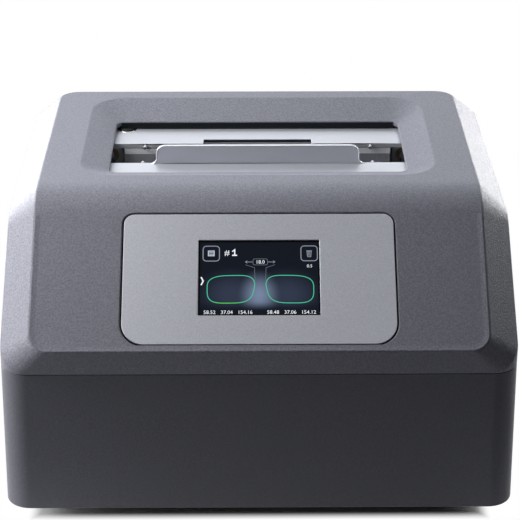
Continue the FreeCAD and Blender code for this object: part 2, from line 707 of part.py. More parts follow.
def lower_housing():
    corners = ["wall_corner_radius"] * 2
    outer = leaning_walls("housing_outer", "0", "base_clear", "seam_z", "front_foot_y", "front_seam_y",
                          *corners)
    inner = leaning_walls("housing_inner", "shell_wall", "base_clear + shell_wall", "seam_z",
                          "front_foot_y + shell_wall", "front_seam_y + shell_wall", *corners)
    well = Form("housing_well")
    well.pad(
        well.rounded("XY", "-half_width + flange_width", "front_foot_y + flange_width",
                     "half_width - flange_width", "half_depth - flange_width",
                     ["wall_corner_radius"] * 4, "base_clear - overrun"),
        "shell_wall + 2 * overrun",
    )
    window = middle_box(
        "panel_window", "panel_across", "half_depth", "base_top + shell_wall + panel_window_margin",
        "panel_width - 2 * panel_window_margin", "4 * shell_wall",
        "panel_height - 2 * panel_window_margin",
    )
    slots = []
    for index in range(int(value("vent_count"))):
        offset = f"-vent_across + ({index} - (vent_count - 1) / 2) * vent_step"
        slots.append(middle_box(f"vent_{index}", offset, "half_depth", "vent_low", "vent_width",
                                "4 * shell_wall", "vent_height"))
    keep("lower_housing", cut("housing", outer, inner, well.body, window, *slots))


def base():
    form = Form("base")
    edges = ("-base_half", "base_front", "base_half", "base_rear")
    form.pad(form.rounded("XY", *edges, ["wall_corner_radius"] * 4, "base_clear - base_skirt"),
             "base_skirt")
    inside = ("-base_half + base_sheet", "base_front + base_sheet", "base_half - base_sheet",
              "base_rear - base_sheet")
    radii = ["wall_corner_radius - base_sheet"] * 4
    form.pocket(form.rounded("XY", *inside, radii, "base_clear - base_skirt"),
                "base_skirt - base_sheet", back=True)
    keep("base_plate", form.body)
    for side, across in (("left", "-base_half + foot_inset"), ("right", "base_half - foot_inset")):
        for end, back in (("front", "base_front + foot_inset"), ("rear", "base_rear - foot_inset")):
            foot = Form(f"foot_{end}_{side}")
            drawing = foot.sketch("XY")
            drawing.addGeometry(Part.Circle(Vector(), Vector(0, 0, 1), value("foot_radius")), False)
            drawing.addConstraint(Sketcher.Constraint("Coincident", 0, 3, -1, 1))
            number = drawing.addConstraint(Sketcher.Constraint("Radius", 0, value("foot_radius")))
            drawing.setExpression(f"Constraints[{number}]", formula("foot_radius"))
            foot.pad(drawing, "base_clear - base_sheet")
            foot.dress("Chamfer", "foot_chamfer", lambda edge: same(edge.BoundBox.ZMax, 0))
            place(foot.body, across, back)
            keep(f"{end}_{side}_foot", foot.body)


def screen():
    plate = Form("bezel")
    plate.pad(bezel_outline(plate, "0"), "bezel_sheet")
    plate.pocket(
        plate.outline("XY", [
            ("-window_width / 2", "window_up"),
            ("window_width / 2", "window_up"),
            ("window_width / 2", "window_up + window_length"),
            ("-window_width / 2", "window_up + window_length"),
        ]),
        "bezel_sheet", back=True,
    )
    on_face(plate.body, out="bezel_proud - bezel_sheet")
    keep("bezel_plate", plate.body)
    for node, lap, low, depth in (
        ("touch_glass", "glass_lap", "bezel_proud - bezel_sheet - glass_sheet", "glass_sheet"),
        ("display_module", "module_lap", "module_low", "module_depth"),
    ):
        sheet_box = box(node, "0", "0", "0", f"window_width + 2 * {lap}", f"window_length + 2 * {lap}",
                        depth)
        keep(node, on_face(sheet_box, f"window_up - {lap}", low, f"-window_width / 2 - {lap}"))
    bracket = Form("bracket")
    ear = "module_lap + bracket_ear"
    bracket.pad(
        bracket.rounded("XY", f"-window_width / 2 - {ear}", "window_up - module_lap",
                        f"window_width / 2 + {ear}", "window_up + window_length + module_lap",
                        ["bracket_post_radius"] * 4, "bracket_low"),
        "bracket_sheet",
    )
    pocket_lap = "module_lap / 2"
    bracket.pocket(
        bracket.rounded("XY", f"-window_width / 2 + {pocket_lap}", f"window_up + {pocket_lap}",
                        f"window_width / 2 - {pocket_lap}",
                        f"window_up + window_length - {pocket_lap}", ["bracket_post_radius"] * 4,
                        "bracket_low"),
        "bracket_sheet", back=True,
    )
    on_face(bracket.body)
    posts = []
    for side in (-1, 1):
        for name, up in (("low", "window_up + bracket_post_radius"),
                         ("high", "window_up + window_length - bracket_post_radius")):
            post = cylinder(f"post_{name}_{side}", "Z", "0", "0", "0", "bracket_post_radius",
                            "-shell_wall - module_low")
            on_face(post, up, "module_low",
                    f"{side} * (window_width / 2 + module_lap + bracket_ear / 2 + play)")
            posts.append(post)
    keep("display_bracket", fuse("display_bracket_whole", bracket.body, *posts))


def jaws():
    """The two jaws, their bosses on the rods, bushes and rim pins."""
    bush_radius = "jaw_rod_radius + run_gap + bush_wall"
    for node, edge, way in (("front_jaw", "front_edge_y", -1), ("rear_jaw", "rear_edge_y", 1)):
        near, far = edge, f"{edge} + {way} * jaw_reach"
        low, high = (far, near) if way < 0 else (near, far)
        plate = Form(node + "_plate")
        plate.pad(
            plate.rounded("XY", "-jaw_half_width", low, "jaw_half_width", high,
                          ["jaw_corner_radius"] * 4, "jaw_under"),
            "jaw_sheet",
        )
        if way > 0:
            plate.pocket(
                plate.outline("XY", [
                    ("-notch_width / 2", "rear_edge_y - overrun"),
                    ("notch_width / 2", "rear_edge_y - overrun"),
                    ("notch_width / 2", "rear_edge_y + notch_depth"),
                    ("-notch_width / 2", "rear_edge_y + notch_depth"),
                ], "jaw_under"),
                "jaw_sheet", back=True,
            )
        pieces = [plate.body]
        bores = []
        bushes = []
        boss_near = f"{edge} + {way} * boss_set_back"
        boss_low = f"{boss_near} - boss_length" if way < 0 else boss_near
        boss_floor = "rack_top" if way < 0 else "boss_under"
        for side in (-1, 1):
            rod_x = f"{side} * jaw_rod_across"
            pieces.append(middle_box(f"{node}_boss_{side}", rod_x, f"{boss_low} + boss_length / 2",
                                     boss_floor, "2 * boss_half", "boss_length",
                                     f"jaw_under - {boss_floor}"))
            bores.append(cylinder(f"{node}_bore_{side}", "Y", rod_x, f"{boss_low} - overrun",
                                  "jaw_rod_z", bush_radius, "boss_length + 2 * overrun"))
            bushes.append(cut(
                f"{node}_bush_{side}",
                cylinder(f"{node}_bush_out_{side}", "Y", rod_x, boss_low, "jaw_rod_z", bush_radius,
                         "boss_length"),
                cylinder(f"{node}_bush_in_{side}", "Y", rod_x, f"{boss_low} - overrun", "jaw_rod_z",
                         "jaw_rod_radius + run_gap", "boss_length + 2 * overrun"),
            ))
        if way < 0:
            pieces.append(front_lip())
        else:
            pieces.append(box(
                "rear_rack_lug",
                "-jaw_pinion_across + jaw_pitch_radius + dedendum_share * gear_module",
                boss_low, "rack_top", "rack_back", "boss_length", "jaw_under - rack_top",
            ))
            bores.append(cylinder("plug_bore", "Z", "-plug_across", "rear_edge_y + plug_set_back",
                                  "jaw_under - overrun", "plug_radius + plug_ring",
                                  "jaw_sheet + 2 * overrun"))
        keep(node.replace("jaw", "rim_pins"), group(node + "_pins", *rim_pins(node + "_pin", edge, way)))
        bores += rim_pins(node + "_pin_seat", edge, way)
        keep(node, cut(node + "_whole", fuse(node + "_solid", *pieces), *bores))
        keep(node + "_bushes", group(node + "_bush_pair", *bushes))
    grip = box("grip", "-grip_half_width", "rear_edge_y + grip_set_back", "jaw_under - grip_height",
               "2 * grip_half_width", "grip_depth", "grip_height")
    relief = middle_box("grip_relief", "0", "rear_edge_y", "jaw_under - grip_height - overrun",
                        "notch_width", "2 * (grip_set_back + grip_depth / 2)",
                        "grip_height + 2 * overrun")
    keep("rear_grip_block", cut("grip_block", grip, relief))
    ring_out = cylinder("plug_ring_out", "Z", "-plug_across", "rear_edge_y + plug_set_back",
                        "jaw_under", "plug_radius + plug_ring", "jaw_sheet")
    ring_in = cylinder("plug_ring_in", "Z", "-plug_across", "rear_edge_y + plug_set_back",
                       "jaw_under - overrun", "plug_radius", "jaw_sheet + 2 * overrun")
    keep("plug_ring", cut("plug_ring_whole", ring_out, ring_in))
    plug = Form("plug")
    drawing = plug.sketch("XY")
    drawing.addGeometry(Part.Circle(Vector(), Vector(0, 0, 1), value("plug_radius")), False)
    drawing.addConstraint(Sketcher.Constraint("Coincident", 0, 3, -1, 1))
    number = drawing.addConstraint(Sketcher.Constraint("Radius", 0, value("plug_radius")))
    drawing.setExpression(f"Constraints[{number}]", formula("plug_radius"))
    plug.pad(drawing, "jaw_sheet + plug_height")
    top = value("jaw_sheet + plug_height")
    plug.dress("Chamfer", "plug_height", lambda edge: same(edge.BoundBox.ZMin, top))
    place(plug.body, "-plug_across", "rear_edge_y + plug_set_back", "jaw_under")
    keep("jaw_plug", plug.body)


def front_lip():
    """The upright lip, with rounded ends that flare into the ledge."""
    form = Form("lip")
    top = "jaw_top + lip_height"
    form.pad(
        form.outline("XZ", [
            ("-lip_width / 2 - 2 * lip_flare", "jaw_under"),
            ("lip_width / 2 + 2 * lip_flare", "jaw_under"),
            ("lip_width / 2 + 2 * lip_flare", "jaw_top"),
            ("lip_width / 2", "jaw_top"),
            ("lip_width / 2", top),
            ("-lip_width / 2", top),
            ("-lip_width / 2", "jaw_top"),
            ("-lip_width / 2 - 2 * lip_flare", "jaw_top"),
        ], "-front_edge_y"),
        "lip_wall",
    )
    top_z, low_z, side_x = value(top), value("jaw_top"), value("lip_width / 2")
    form.dress("Fillet", "lip_radius",
               lambda edge: along(edge, "Y") and same(edge.BoundBox.ZMax, top_z))
    form.dress("Fillet", "lip_flare",
               lambda edge: along(edge, "Y") and same(edge.BoundBox.ZMax, low_z)
               and same(abs(edge.BoundBox.XMax), side_x))
    return form.body


def rim_pins(name, edge, way):
    """Short pins in a row along the jaw edge."""
    start = f"{edge} - rim_pin_root" if way < 0 else f"{edge} - rim_pin_length"
    pins = []
    for side in (-1, 1):
        for index in range(3):
            pins.append(cylinder(f"{name}_{side}_{index}", "Y",
                                 f"{side} * (rim_pin_across + {index} * rim_pin_step)", start,
                                 "jaw_under + jaw_sheet / 2", "rim_pin_radius",
                                 "rim_pin_length + rim_pin_root"))
    return pins


def involute(angle):
    return math.tan(angle) - angle


def gear_outline(teeth, module, phase):
    """Points of an involute gear: each flank runs root, base, pitch and tip circle."""
    pressure = math.radians(value("pressure_angle"))
    pitch = module * teeth / 2
    root, tip, base = pitch - value("dedendum_share") * module, pitch + module, pitch * math.cos(pressure)
    radii = [radius for radius in (root, base, pitch, tip) if radius >= root]
    half_pitch = math.pi / (2 * teeth) - value("gear_backlash") / (2 * pitch) + involute(pressure)
    flank = [(radius, half_pitch - involute(math.acos(min(1, base / radius)))) for radius in radii]
    points = []
    for tooth in range(teeth):
        middle = phase + 2 * math.pi * tooth / teeth
        points += [(radius, middle - half) for radius, half in flank]
        points += [(radius, middle + half) for radius, half in reversed(flank)]
    return [Vector(radius * math.cos(angle), radius * math.sin(angle), 0) for radius, angle in points]


def solid_from(points, height):
    """An upright solid on a closed outline."""
    face = Part.Face(Part.makePolygon(points + [points[0]]))
    return face.extrude(Vector(0, 0, height))


def gear(name, teeth, module, height, shaft=None, phase_teeth=0):
    """A spur gear about Z, on a shaft below it when one is given; its phase is given in teeth."""
    count = int(value(teeth))
    outline = gear_outline(count, value(module), 2 * math.pi * phase_teeth / count)
    shape = solid_from(outline, value(height))
    if shaft:
        radius, length = (value(rule) for rule in shaft)
        shape = shape.fuse(Part.makeCylinder(radius, length, Vector(0, 0, -length)))
    wheel = doc.addObject("Part::Feature", name)
    wheel.Shape = shape
    return wheel


def rack(name, module, back, start, end, height):
    """A rack along X whose teeth point to +Y, with its pitch line on Y = 0 and a tooth gap at X = 0."""
    module, back, start, end = (value(rule) for rule in (module, back, start, end))
    pitch = math.pi * module
    slant = math.tan(math.radians(value("pressure_angle")))
    half = pitch / 4 - value("gear_backlash") / 2
    root, tip = -value("dedendum_share") * module, module
    points = [Vector(start, root - back, 0), Vector(start, root, 0)]
    first, last = math.ceil(start / pitch), math.floor(end / pitch) - 1
    for tooth in range(first, last + 1):
        middle = (tooth + 1 / 2) * pitch
        for height_here, side in ((root, -1), (tip, -1), (tip, 1), (root, 1)):
            points.append(Vector(middle + side * (half - height_here * slant), height_here, 0))
    points += [Vector(end, root, 0), Vector(end, root - back, 0)]
    bar = doc.addObject("Part::Feature", name)
    bar.Shape = solid_from(points, value(height))
    return bar


def jaw_drive():
    """Racks under the two jaws on either side of one pinion, so that the jaws close evenly."""
    far_end = "jaw_gap / 2 + boss_set_back + boss_length"
    for node, way in (("front_rack", -1), ("rear_rack", 1)):
        bar = rack(node, "gear_module", "rack_back", "-rack_lap", far_end, "rack_height")
        place(bar, f"-jaw_pinion_across + {way} * jaw_pitch_radius", "middle_y", "rack_low",
              Rotation(Vector(0, 0, 1), way * 90))
        keep(node, bar)
    pinion = gear("jaw_pinion", "jaw_pinion_teeth", "gear_module", "rack_height - 2 * pinion_short",
                  ("motor_shaft_radius", "motor_neck + chassis_sheet + shaft_seat"))
    place(pinion, "-jaw_pinion_across", "middle_y", "pinion_low")
    keep("jaw_pinion", pinion)
    can_top = "jaw_motor_top - chassis_sheet"
    can = cylinder("jaw_motor_can", "Z", "-jaw_pinion_across", "middle_y",
                   f"{can_top} - jaw_motor_length", "jaw_motor_radius", "jaw_motor_length")
    bore = cylinder("jaw_motor_bore", "Z", "-jaw_pinion_across", "middle_y",
                    f"{can_top} - shaft_seat - play", "motor_shaft_radius + run_gap",
                    "shaft_seat + play + overrun")
    keep("jaw_motor", cut("jaw_motor_whole", can, bore))
    shelf = box("jaw_motor_shelf", "-chassis_half", "middle_y - jaw_motor_radius - overrun", can_top,
                "chassis_half - jaw_pinion_across + jaw_motor_radius + overrun",
                "2 * jaw_motor_radius + 2 * overrun", "chassis_sheet")
    hole = cylinder("shelf_hole", "Z", "-jaw_pinion_across", "middle_y", f"{can_top} - overrun",
                    "motor_shaft_radius + play", "chassis_sheet + 2 * overrun")
    keep("jaw_motor_bracket", cut("jaw_motor_shelf_whole", shelf, hole))


def chassis():
    """Side plates that carry the jaw rods above and the cross stage below."""
    edge = "chassis_window"
    for side, name in ((-1, "left"), (1, "right")):
        form = Form(f"chassis_{name}_plate")
        lift = "chassis_half" if side > 0 else "-chassis_half - chassis_sheet"
        form.pad(
            form.outline("YZ", [
                ("chassis_start", "base_top"),
                ("chassis_step", "base_top"),
                ("chassis_step", "chassis_step_height"),
                ("chassis_end", "chassis_step_height + chassis_slant"),
                ("chassis_end", "chassis_top"),
                ("chassis_start", "chassis_top"),
            ], lift),
            "chassis_sheet",
        )
        form.pocket(
            form.rounded("YZ", f"chassis_start + {edge}", f"stage_height + {edge}",
                         f"chassis_step - {edge}", f"chassis_top - {edge} - {edge}",
                         ["jaw_corner_radius"] * 4, lift),
            "chassis_sheet", back=True,
        )
        foot_x = "chassis_half - chassis_foot" if side > 0 else "-chassis_half"
        foot = box(f"chassis_foot_{name}", foot_x, "chassis_start", "base_top", "chassis_foot",
                   "chassis_step - chassis_start", "chassis_sheet")
        bores = []
        start = f"{lift} - overrun"
        through = "chassis_sheet + 2 * overrun"
        for index, rod_y in enumerate(("stage_front_y", "stage_rear_y")):
            bores.append(cylinder(f"rod_seat_{name}_{index}", "X", start, rod_y, "stage_height",
                                  "stage_rod_radius", through))
        seat = "screw_bearing_radius" if side < 0 else "screw_radius + play"
        bores.append(cylinder(f"screw_seat_{name}", "X", start, "screw_y", "stage_height", seat, through))
        plate = fuse(f"chassis_{name}_solid", form.body, foot)
        keep(f"chassis_{name}", cut(f"chassis_{name}_whole", plate, *bores))
        rod = cylinder(f"jaw_rod_{name}", "Y", f"{side} * jaw_rod_across", "jaw_rod_start", "jaw_rod_z",
                       "jaw_rod_radius", "jaw_rod_end - jaw_rod_start")
        keep(f"jaw_rod_{name}", rod)
    blocks = []
    for side in (-1, 1):
        for end, near in (("front", "jaw_rod_start"), ("rear", "jaw_rod_end - block_length")):
            low_x = "jaw_rod_across - boss_half" if side > 0 else "-chassis_half"
            block = box(f"block_{end}_{side}", low_x, near, "jaw_rod_z - boss_half",
                        "chassis_half - jaw_rod_across + boss_half", "block_length", "2 * boss_half")
            bore = cylinder(f"block_bore_{end}_{side}", "Y", f"{side} * jaw_rod_across",
                            f"{near} - overrun", "jaw_rod_z", "jaw_rod_radius",
                            "block_length + 2 * overrun")
            blocks.append(cut(f"rod_block_{end}_{side}", block, bore))
    keep("rod_blocks", group("rod_block_set", *blocks))


def cross_stage():
    """Rods, carriage, lead screw and motor that carry the tracing head from lens to lens."""
    for node, rod_y in (("stage_rod_front", "stage_front_y"), ("stage_rod_rear", "stage_rear_y")):
        keep(node, cylinder(node, "X", "-chassis_half - chassis_sheet", rod_y, "stage_height",
                            "stage_rod_radius", "2 * (chassis_half + chassis_sheet)"))
    bush_radius = "stage_rod_radius + run_gap + bush_wall"
    plate = Form("carriage_plate")
    plate.pad(
        plate.rounded("XY", "-carriage_half", "middle_y - carriage_depth / 2", "carriage_half",
                      "middle_y + carriage_depth / 2", ["jaw_corner_radius"] * 4, "plate_low"),
        "carriage_sheet",
    )
    pieces = [plate.body]
    bores = []
    bushes = []
    boss_low = "stage_height - stage_rod_radius - run_gap - bush_wall - boss_wall"
    for index, rod_y in enumerate(("stage_front_y", "stage_rear_y")):
        pieces.append(middle_box(f"stage_boss_{index}", "0", rod_y, boss_low, "stage_boss_length",
                                 "2 * (stage_rod_radius + run_gap + bush_wall + boss_wall / 2)",
                                 f"plate_low - ({boss_low})"))
        bores.append(cylinder(f"stage_bore_{index}", "X", "-stage_boss_length / 2 - overrun", rod_y,
                              "stage_height", bush_radius, "stage_boss_length + 2 * overrun"))
        bushes.append(cut(
            f"stage_bush_{index}",
            cylinder(f"stage_bush_out_{index}", "X", "-stage_boss_length / 2", rod_y, "stage_height",
                     bush_radius, "stage_boss_length"),
            cylinder(f"stage_bush_in_{index}", "X", "-stage_boss_length / 2 - overrun", rod_y,
                     "stage_height", "stage_rod_radius + run_gap", "stage_boss_length + 2 * overrun"),
        ))
    nut_start = "-nut_across - nut_length / 2"
    pieces.append(middle_box("nut_hanger", "-nut_across", "screw_y", "stage_height", "nut_length",
                             "nut_radius", "plate_low - stage_height"))
    bores.append(cylinder("nut_clear", "X", f"{nut_start} - overrun", "screw_y", "stage_height",
                          "nut_radius", "nut_length + 2 * overrun"))
    hub = "turntable_hub_radius + run_gap + turntable_bearing_wall"
    bores.append(cylinder("bearing_seat", "Z", "0", "middle_y", "plate_low - overrun", hub,
                          "carriage_sheet + 2 * overrun"))
    bores.append(cylinder("turn_shaft_hole", "Z", "turn_pitch", "middle_y", "plate_low - overrun",
                          "motor_shaft_radius + play", "carriage_sheet + 2 * overrun"))
    keep("stage_carriage", cut("carriage_whole", fuse("carriage_solid", *pieces), *bores))
    keep("stage_bushes", group("stage_bush_pair", *bushes))
    nut = cut(
        "screw_nut_whole",
        cylinder("nut_out", "X", nut_start, "screw_y", "stage_height", "nut_radius", "nut_length"),
        cylinder("nut_in", "X", f"{nut_start} - overrun", "screw_y", "stage_height",
                 "screw_radius + run_gap", "nut_length + 2 * overrun"),
    )
    keep("screw_nut", nut)
    screw_end = "chassis_half + chassis_sheet"
    keep("lead_screw", cylinder("lead_screw", "X", f"-({screw_end})", "screw_y", "stage_height",
                                "screw_radius", f"2 * ({screw_end}) + chassis_sheet"))
    motor = Form("screw_motor_form")
    side = "screw_motor_side / 2"
    motor.pad(
        motor.rounded("YZ", f"screw_y - {side}", f"stage_height - {side}", f"screw_y + {side}",
                      f"stage_height + {side}", ["screw_motor_corner"] * 4, screw_end),
        "screw_motor_length",
    )
    bore = cylinder("screw_motor_bore", "X", f"{screw_end} - overrun", "screw_y", "stage_height",
                    "screw_radius + run_gap", "chassis_sheet + overrun + play")
    keep("screw_motor", cut("screw_motor_whole", motor.body, bore))
    ring = cut(
        "screw_bearing_whole",
        cylinder("screw_bearing_out", "X", f"-({screw_end})", "screw_y", "stage_height",
                 "screw_bearing_radius", "chassis_sheet"),
        cylinder("screw_bearing_in", "X", f"-({screw_end}) - overrun", "screw_y", "stage_height",
                 "screw_radius + run_gap", "chassis_sheet + 2 * overrun"),
    )
    keep("screw_bearing", ring)


def tracing_head():
    """Turntable with its toothed rim, pinion and motor, and the radial slide with the stylus."""
    hub = "turntable_hub_radius"
    ring = cut(
        "turntable_bearing_whole",
        cylinder("turntable_bearing_out", "Z", "0", "middle_y", "plate_low",
                 f"{hub} + run_gap + turntable_bearing_wall", "carriage_sheet"),
        cylinder("turntable_bearing_in", "Z", "0", "middle_y", "plate_low - overrun",
                 f"{hub} + run_gap", "carriage_sheet + 2 * overrun"),
    )
    keep("turntable_bearing", ring)
    rim = gear("turntable_rim", "turntable_teeth", "gear_module", "turntable_sheet", None)
    place(rim, "0", "middle_y", "rim_low")
    pieces = [rim, cylinder("turntable_hub", "Z", "0", "middle_y", "plate_low", hub,
                            "carriage_sheet + turntable_lift")]
    seats = []
    for side in (-1, 1):
        low_x = "end_block_across" if side > 0 else "-end_block_across - end_block_wall"
        pieces.append(box(f"end_block_{side}", low_x, "middle_y - end_block_depth / 2", "rim_top",
                          "end_block_wall", "end_block_depth", "end_block_height"))
    rods = []
    for side in (-1, 1):
        rod_y = f"middle_y + {side} * radial_rod_apart / 2"
        span = "2 * (end_block_across + end_block_wall)"
        seats.append(cylinder(f"radial_seat_{side}", "X", "-end_block_across - end_block_wall", rod_y,
                              "radial_rod_z", "radial_rod_radius", span))
        rods.append(cylinder(f"radial_rod_{side}", "X", "-end_block_across - end_block_wall", rod_y,
                             "radial_rod_z", "radial_rod_radius", span))
    keep("turntable", cut("turntable_whole", fuse("turntable_solid", *pieces), *seats))
    keep("radial_rods", group("radial_rod_pair", *rods))
    lower = "turntable_lift + pinion_short + carriage_sheet + shaft_seat"
    pinion = gear("turntable_pinion", "pinion_teeth", "gear_module",
                  "turntable_sheet - 2 * pinion_short", ("motor_shaft_radius", lower), 1 / 2)
    place(pinion, "turn_pitch", "middle_y", "rim_low + pinion_short")
    keep("turntable_pinion", pinion)
    body = Form("turn_motor_form")
    half = "turn_motor_side / 2"
    body.pad(
        body.rounded("XY", f"turn_pitch - {half}", f"middle_y - {half}", f"turn_pitch + {half}",
                     f"middle_y + {half}", ["turn_motor_corner"] * 4, "plate_low - turn_motor_length"),
        "turn_motor_length",
    )
    bore = cylinder("turn_motor_bore", "Z", "turn_pitch", "middle_y", "plate_low - shaft_seat - play",
                    "motor_shaft_radius + run_gap", "shaft_seat + play + overrun")
    keep("turntable_motor", cut("turntable_motor_whole", body.body, bore))
    radial_slide()
    encoder()


def radial_slide():
    centre = "-slide_rest"
    block = middle_box("slide_block", centre, "middle_y", "slide_low", "slide_length", "slide_depth",
                       "slide_height")
    tower = middle_box("slide_tower", centre, "middle_y", "slide_low + slide_height", "tower_side",
                       "tower_side", "tower_height")
    bores = [cylinder("column_bore", "Z", centre, "middle_y", "column_low",
                      "column_radius + run_gap", "column_length")]
    for side in (-1, 1):
        bores.append(cylinder(f"slide_bore_{side}", "X", f"{centre} - slide_length / 2 - overrun",
                              f"middle_y + {side} * radial_rod_apart / 2", "radial_rod_z",
                              "radial_rod_radius + run_gap", "slide_length + 2 * overrun"))
    keep("radial_slide", cut("slide_whole", fuse("slide_solid", block, tower), *bores))
    bar = rack("radial_rack", "radial_module", "radial_rack_back", "-radial_rack_lap",
               "radial_travel + radial_rack_lap", "radial_rack_height")
    place(bar, "0", "radial_pitch_y", "radial_rack_low", Rotation(Vector(0, 0, 1), 180))
    keep("radial_rack", bar)
    keep("stylus_column", cylinder("stylus_column", "Z", centre, "middle_y", "column_low",
                                   "column_radius", "column_length"))
    head = middle_box("stylus_head", centre, "middle_y", "column_top", "head_length", "head_side",
                      "head_side")
    keep("stylus_head", head)
    needle = cylinder("needle", "X", f"{centre} + head_length / 2", "middle_y", "tip_z", "tip_radius",
                      "tip_length")
    ball = doc.addObject("Part::Sphere", "tip_ball")
    bind(ball, Radius="tip_ball_radius")
    place(ball, f"{centre} + head_length / 2 + tip_length", "middle_y", "tip_z")
    keep("stylus_tip", fuse("stylus_tip_whole", needle, ball))


def encoder():
    """Encoder on the turntable, turned by the rack of the radial slide."""
    seat = "encoder_height / 2"
    wheel = gear("encoder_pinion", "encoder_teeth", "radial_module", "radial_rack_height",
                 ("tip_radius", seat))
    place(wheel, "0", "encoder_y", "radial_rack_low")
    keep("encoder_pinion", wheel)
    can = cylinder("encoder_can", "Z", "0", "encoder_y", "rim_top", "encoder_radius",
                   "radial_rack_low - rim_top - play")
    bore = cylinder("encoder_bore", "Z", "0", "encoder_y", f"radial_rack_low - {seat} - play",
                    "tip_radius + run_gap", f"{seat} + play")
    keep("encoder", cut("encoder_whole", can, bore))


def electronics():
    board = box("board", "-board_length / 2", "middle_y - board_depth / 2", "board_low",
                "board_length", "board_depth", "board_sheet")
    pieces = [board]
    chip_shares = ((-0.25, -0.2, 1.0), (0.05, 0.15, 0.7), (0.3, -0.25, 0.55), (0.28, 0.2, 0.5))
    for index, (across_share, back_share, side_share) in enumerate(chip_shares):
        pieces.append(middle_box(f"chip_{index}", f"{across_share} * board_length",
                                 f"middle_y + {back_share} * board_depth", "board_top",
                                 f"{side_share} * chip_side", f"{side_share} * chip_side",
                                 "chip_height"))
    keep("main_board", fuse("main_board_whole", *pieces))
    posts = []
    for across in (-1, 1):
        for back in (-1, 1):
            posts.append(cylinder(
                f"standoff_{across}_{back}", "Z", f"{across} * (board_length / 2 - standoff_inset)",
                f"middle_y + {back} * (board_depth / 2 - standoff_inset)", "base_top",
                "standoff_radius", "board_lift"))
    keep("board_standoffs", group("standoff_set", *posts))
    keep("power_supply", middle_box(
        "power_supply", "-(chassis_half + chassis_sheet + half_width - flange_width) / 2", "0", "base_top",
        "supply_width", "supply_length", "supply_height"))


def connectors():
    """Panel behind the window in the rear wall, with power inlet, rocker switch and data port."""
    panel = middle_box("panel", "panel_across", "panel_y - panel_sheet / 2", "base_top + shell_wall",
                       "panel_width", "panel_sheet", "panel_height")
    holes = []
    for name, across, width, height in (
        ("inlet", "inlet_across", "inlet_width", "inlet_height"),
        ("switch", "switch_across", "switch_width + 2 * switch_wall", "switch_height + 2 * switch_wall"),
        ("port", "port_across", "port_width", "port_height"),
    ):
        holes.append(middle_box(f"{name}_hole", across, "panel_y - panel_sheet / 2",
                                f"panel_middle_height - ({height}) / 2", width, "4 * panel_sheet",
                                height))
    keep("connector_panel", cut("connector_panel_whole", panel, *holes))
    face = "panel_y"
    shell = box("inlet_shell", "inlet_across - inlet_width / 2", f"{face} - inlet_depth",
                "panel_middle_height - inlet_height / 2", "inlet_width", "inlet_depth + flange_sheet",
                "inlet_height")
    flange = middle_box("inlet_flange", "inlet_across", f"{face} + flange_sheet / 2",
                        "panel_middle_height - inlet_height / 2 - inlet_flange",
                        "inlet_width + 2 * inlet_flange", "flange_sheet",
                        "inlet_height + 2 * inlet_flange")
    socket = box("inlet_socket", "inlet_across - inlet_width / 2 + inlet_wall",
                 f"{face} + flange_sheet - inlet_socket_depth",
                 "panel_middle_height - inlet_height / 2 + inlet_wall",
                 "inlet_width - 2 * inlet_wall", "inlet_socket_depth + overrun",
                 "inlet_height - 2 * inlet_wall")
    keep("power_inlet", cut("power_inlet_whole", fuse("inlet_solid", shell, flange), socket))
    pins = []
    for index in (-1, 0, 1):
        pins.append(middle_box(f"inlet_pin_{index}", f"inlet_across + {index} * inlet_pin_step",
                               f"{face} + flange_sheet - inlet_socket_depth + inlet_pin_length / 2",
                               "panel_middle_height - inlet_pin_side", "inlet_pin_side",
                               "inlet_pin_length", "2 * inlet_pin_side"))
    keep("inlet_pins", group("inlet_pin_row", *pins))
    frame_width, frame_height = "switch_width + 2 * switch_wall", "switch_height + 2 * switch_wall"
    outer = box("switch_outer", f"switch_across - ({frame_width}) / 2", f"{face} - switch_depth",
                f"panel_middle_height - ({frame_height}) / 2", frame_width,
                "switch_depth + flange_sheet", frame_height)
    lip = middle_box("switch_lip", "switch_across", f"{face} + flange_sheet / 2",
                     f"panel_middle_height - ({frame_height}) / 2 - switch_wall",
                     f"{frame_width} + 2 * switch_wall", "flange_sheet",
                     f"{frame_height} + 2 * switch_wall")
    well = middle_box("switch_well", "switch_across", f"{face} + flange_sheet - switch_depth / 2",
                      "panel_middle_height - switch_height / 2", "switch_width",
                      "switch_depth + 2 * overrun", "switch_height")
    keep("switch_frame", cut("switch_frame_whole", fuse("switch_solid", outer, lip), well))
    rocker()
    port = box("port_shell", "port_across - port_width / 2", f"{face} - port_depth",
               "panel_middle_height - port_height / 2", "port_width", "port_depth + flange_sheet",
               "port_height")
    port_socket = box("port_socket", "port_across - port_width / 2 + port_wall",
                      f"{face} + flange_sheet - port_socket_depth",
                      "panel_middle_height - port_height / 2 + port_wall",
                      "port_width - 2 * port_wall", "port_socket_depth + overrun",
                      "port_height - 2 * port_wall")
    keep("data_port", cut("data_port_whole", port, port_socket))


def rocker():
    """Rocker with a hollowed face, tilted about an axis just inside the panel."""
    width = "switch_width - 2 * play"
    drum = cylinder("rocker_drum", "X", f"-({width}) / 2", "0", "0", "switch_height / 2 - play", width)
    block = Form("rocker_block")
    block.pad(
        block.outline("YZ", [
            ("-rocker_back", "-switch_height"),
            ("rocker_front", "-switch_height / 2"),
            ("rocker_valley", "0"),
            ("rocker_front", "switch_height / 2"),
            ("-rocker_back", "switch_height"),
        ]),
        "2 * switch_width", both=True,
    )
    rocker_form = common("rocker", drum, block.body)
    rocker_form.Placement = Placement(Vector(), Rotation(Vector(1, 0, 0), value("rocker_tilt")))
    rocker_form.setExpression("Placement.Rotation.Angle", formula("rocker_tilt"))
    bind(rocker_form, Placement__Base__x="switch_across", Placement__Base__y="panel_y - rocker_pivot",
         Placement__Base__z="panel_middle_height")
    keep("power_switch", rocker_form)


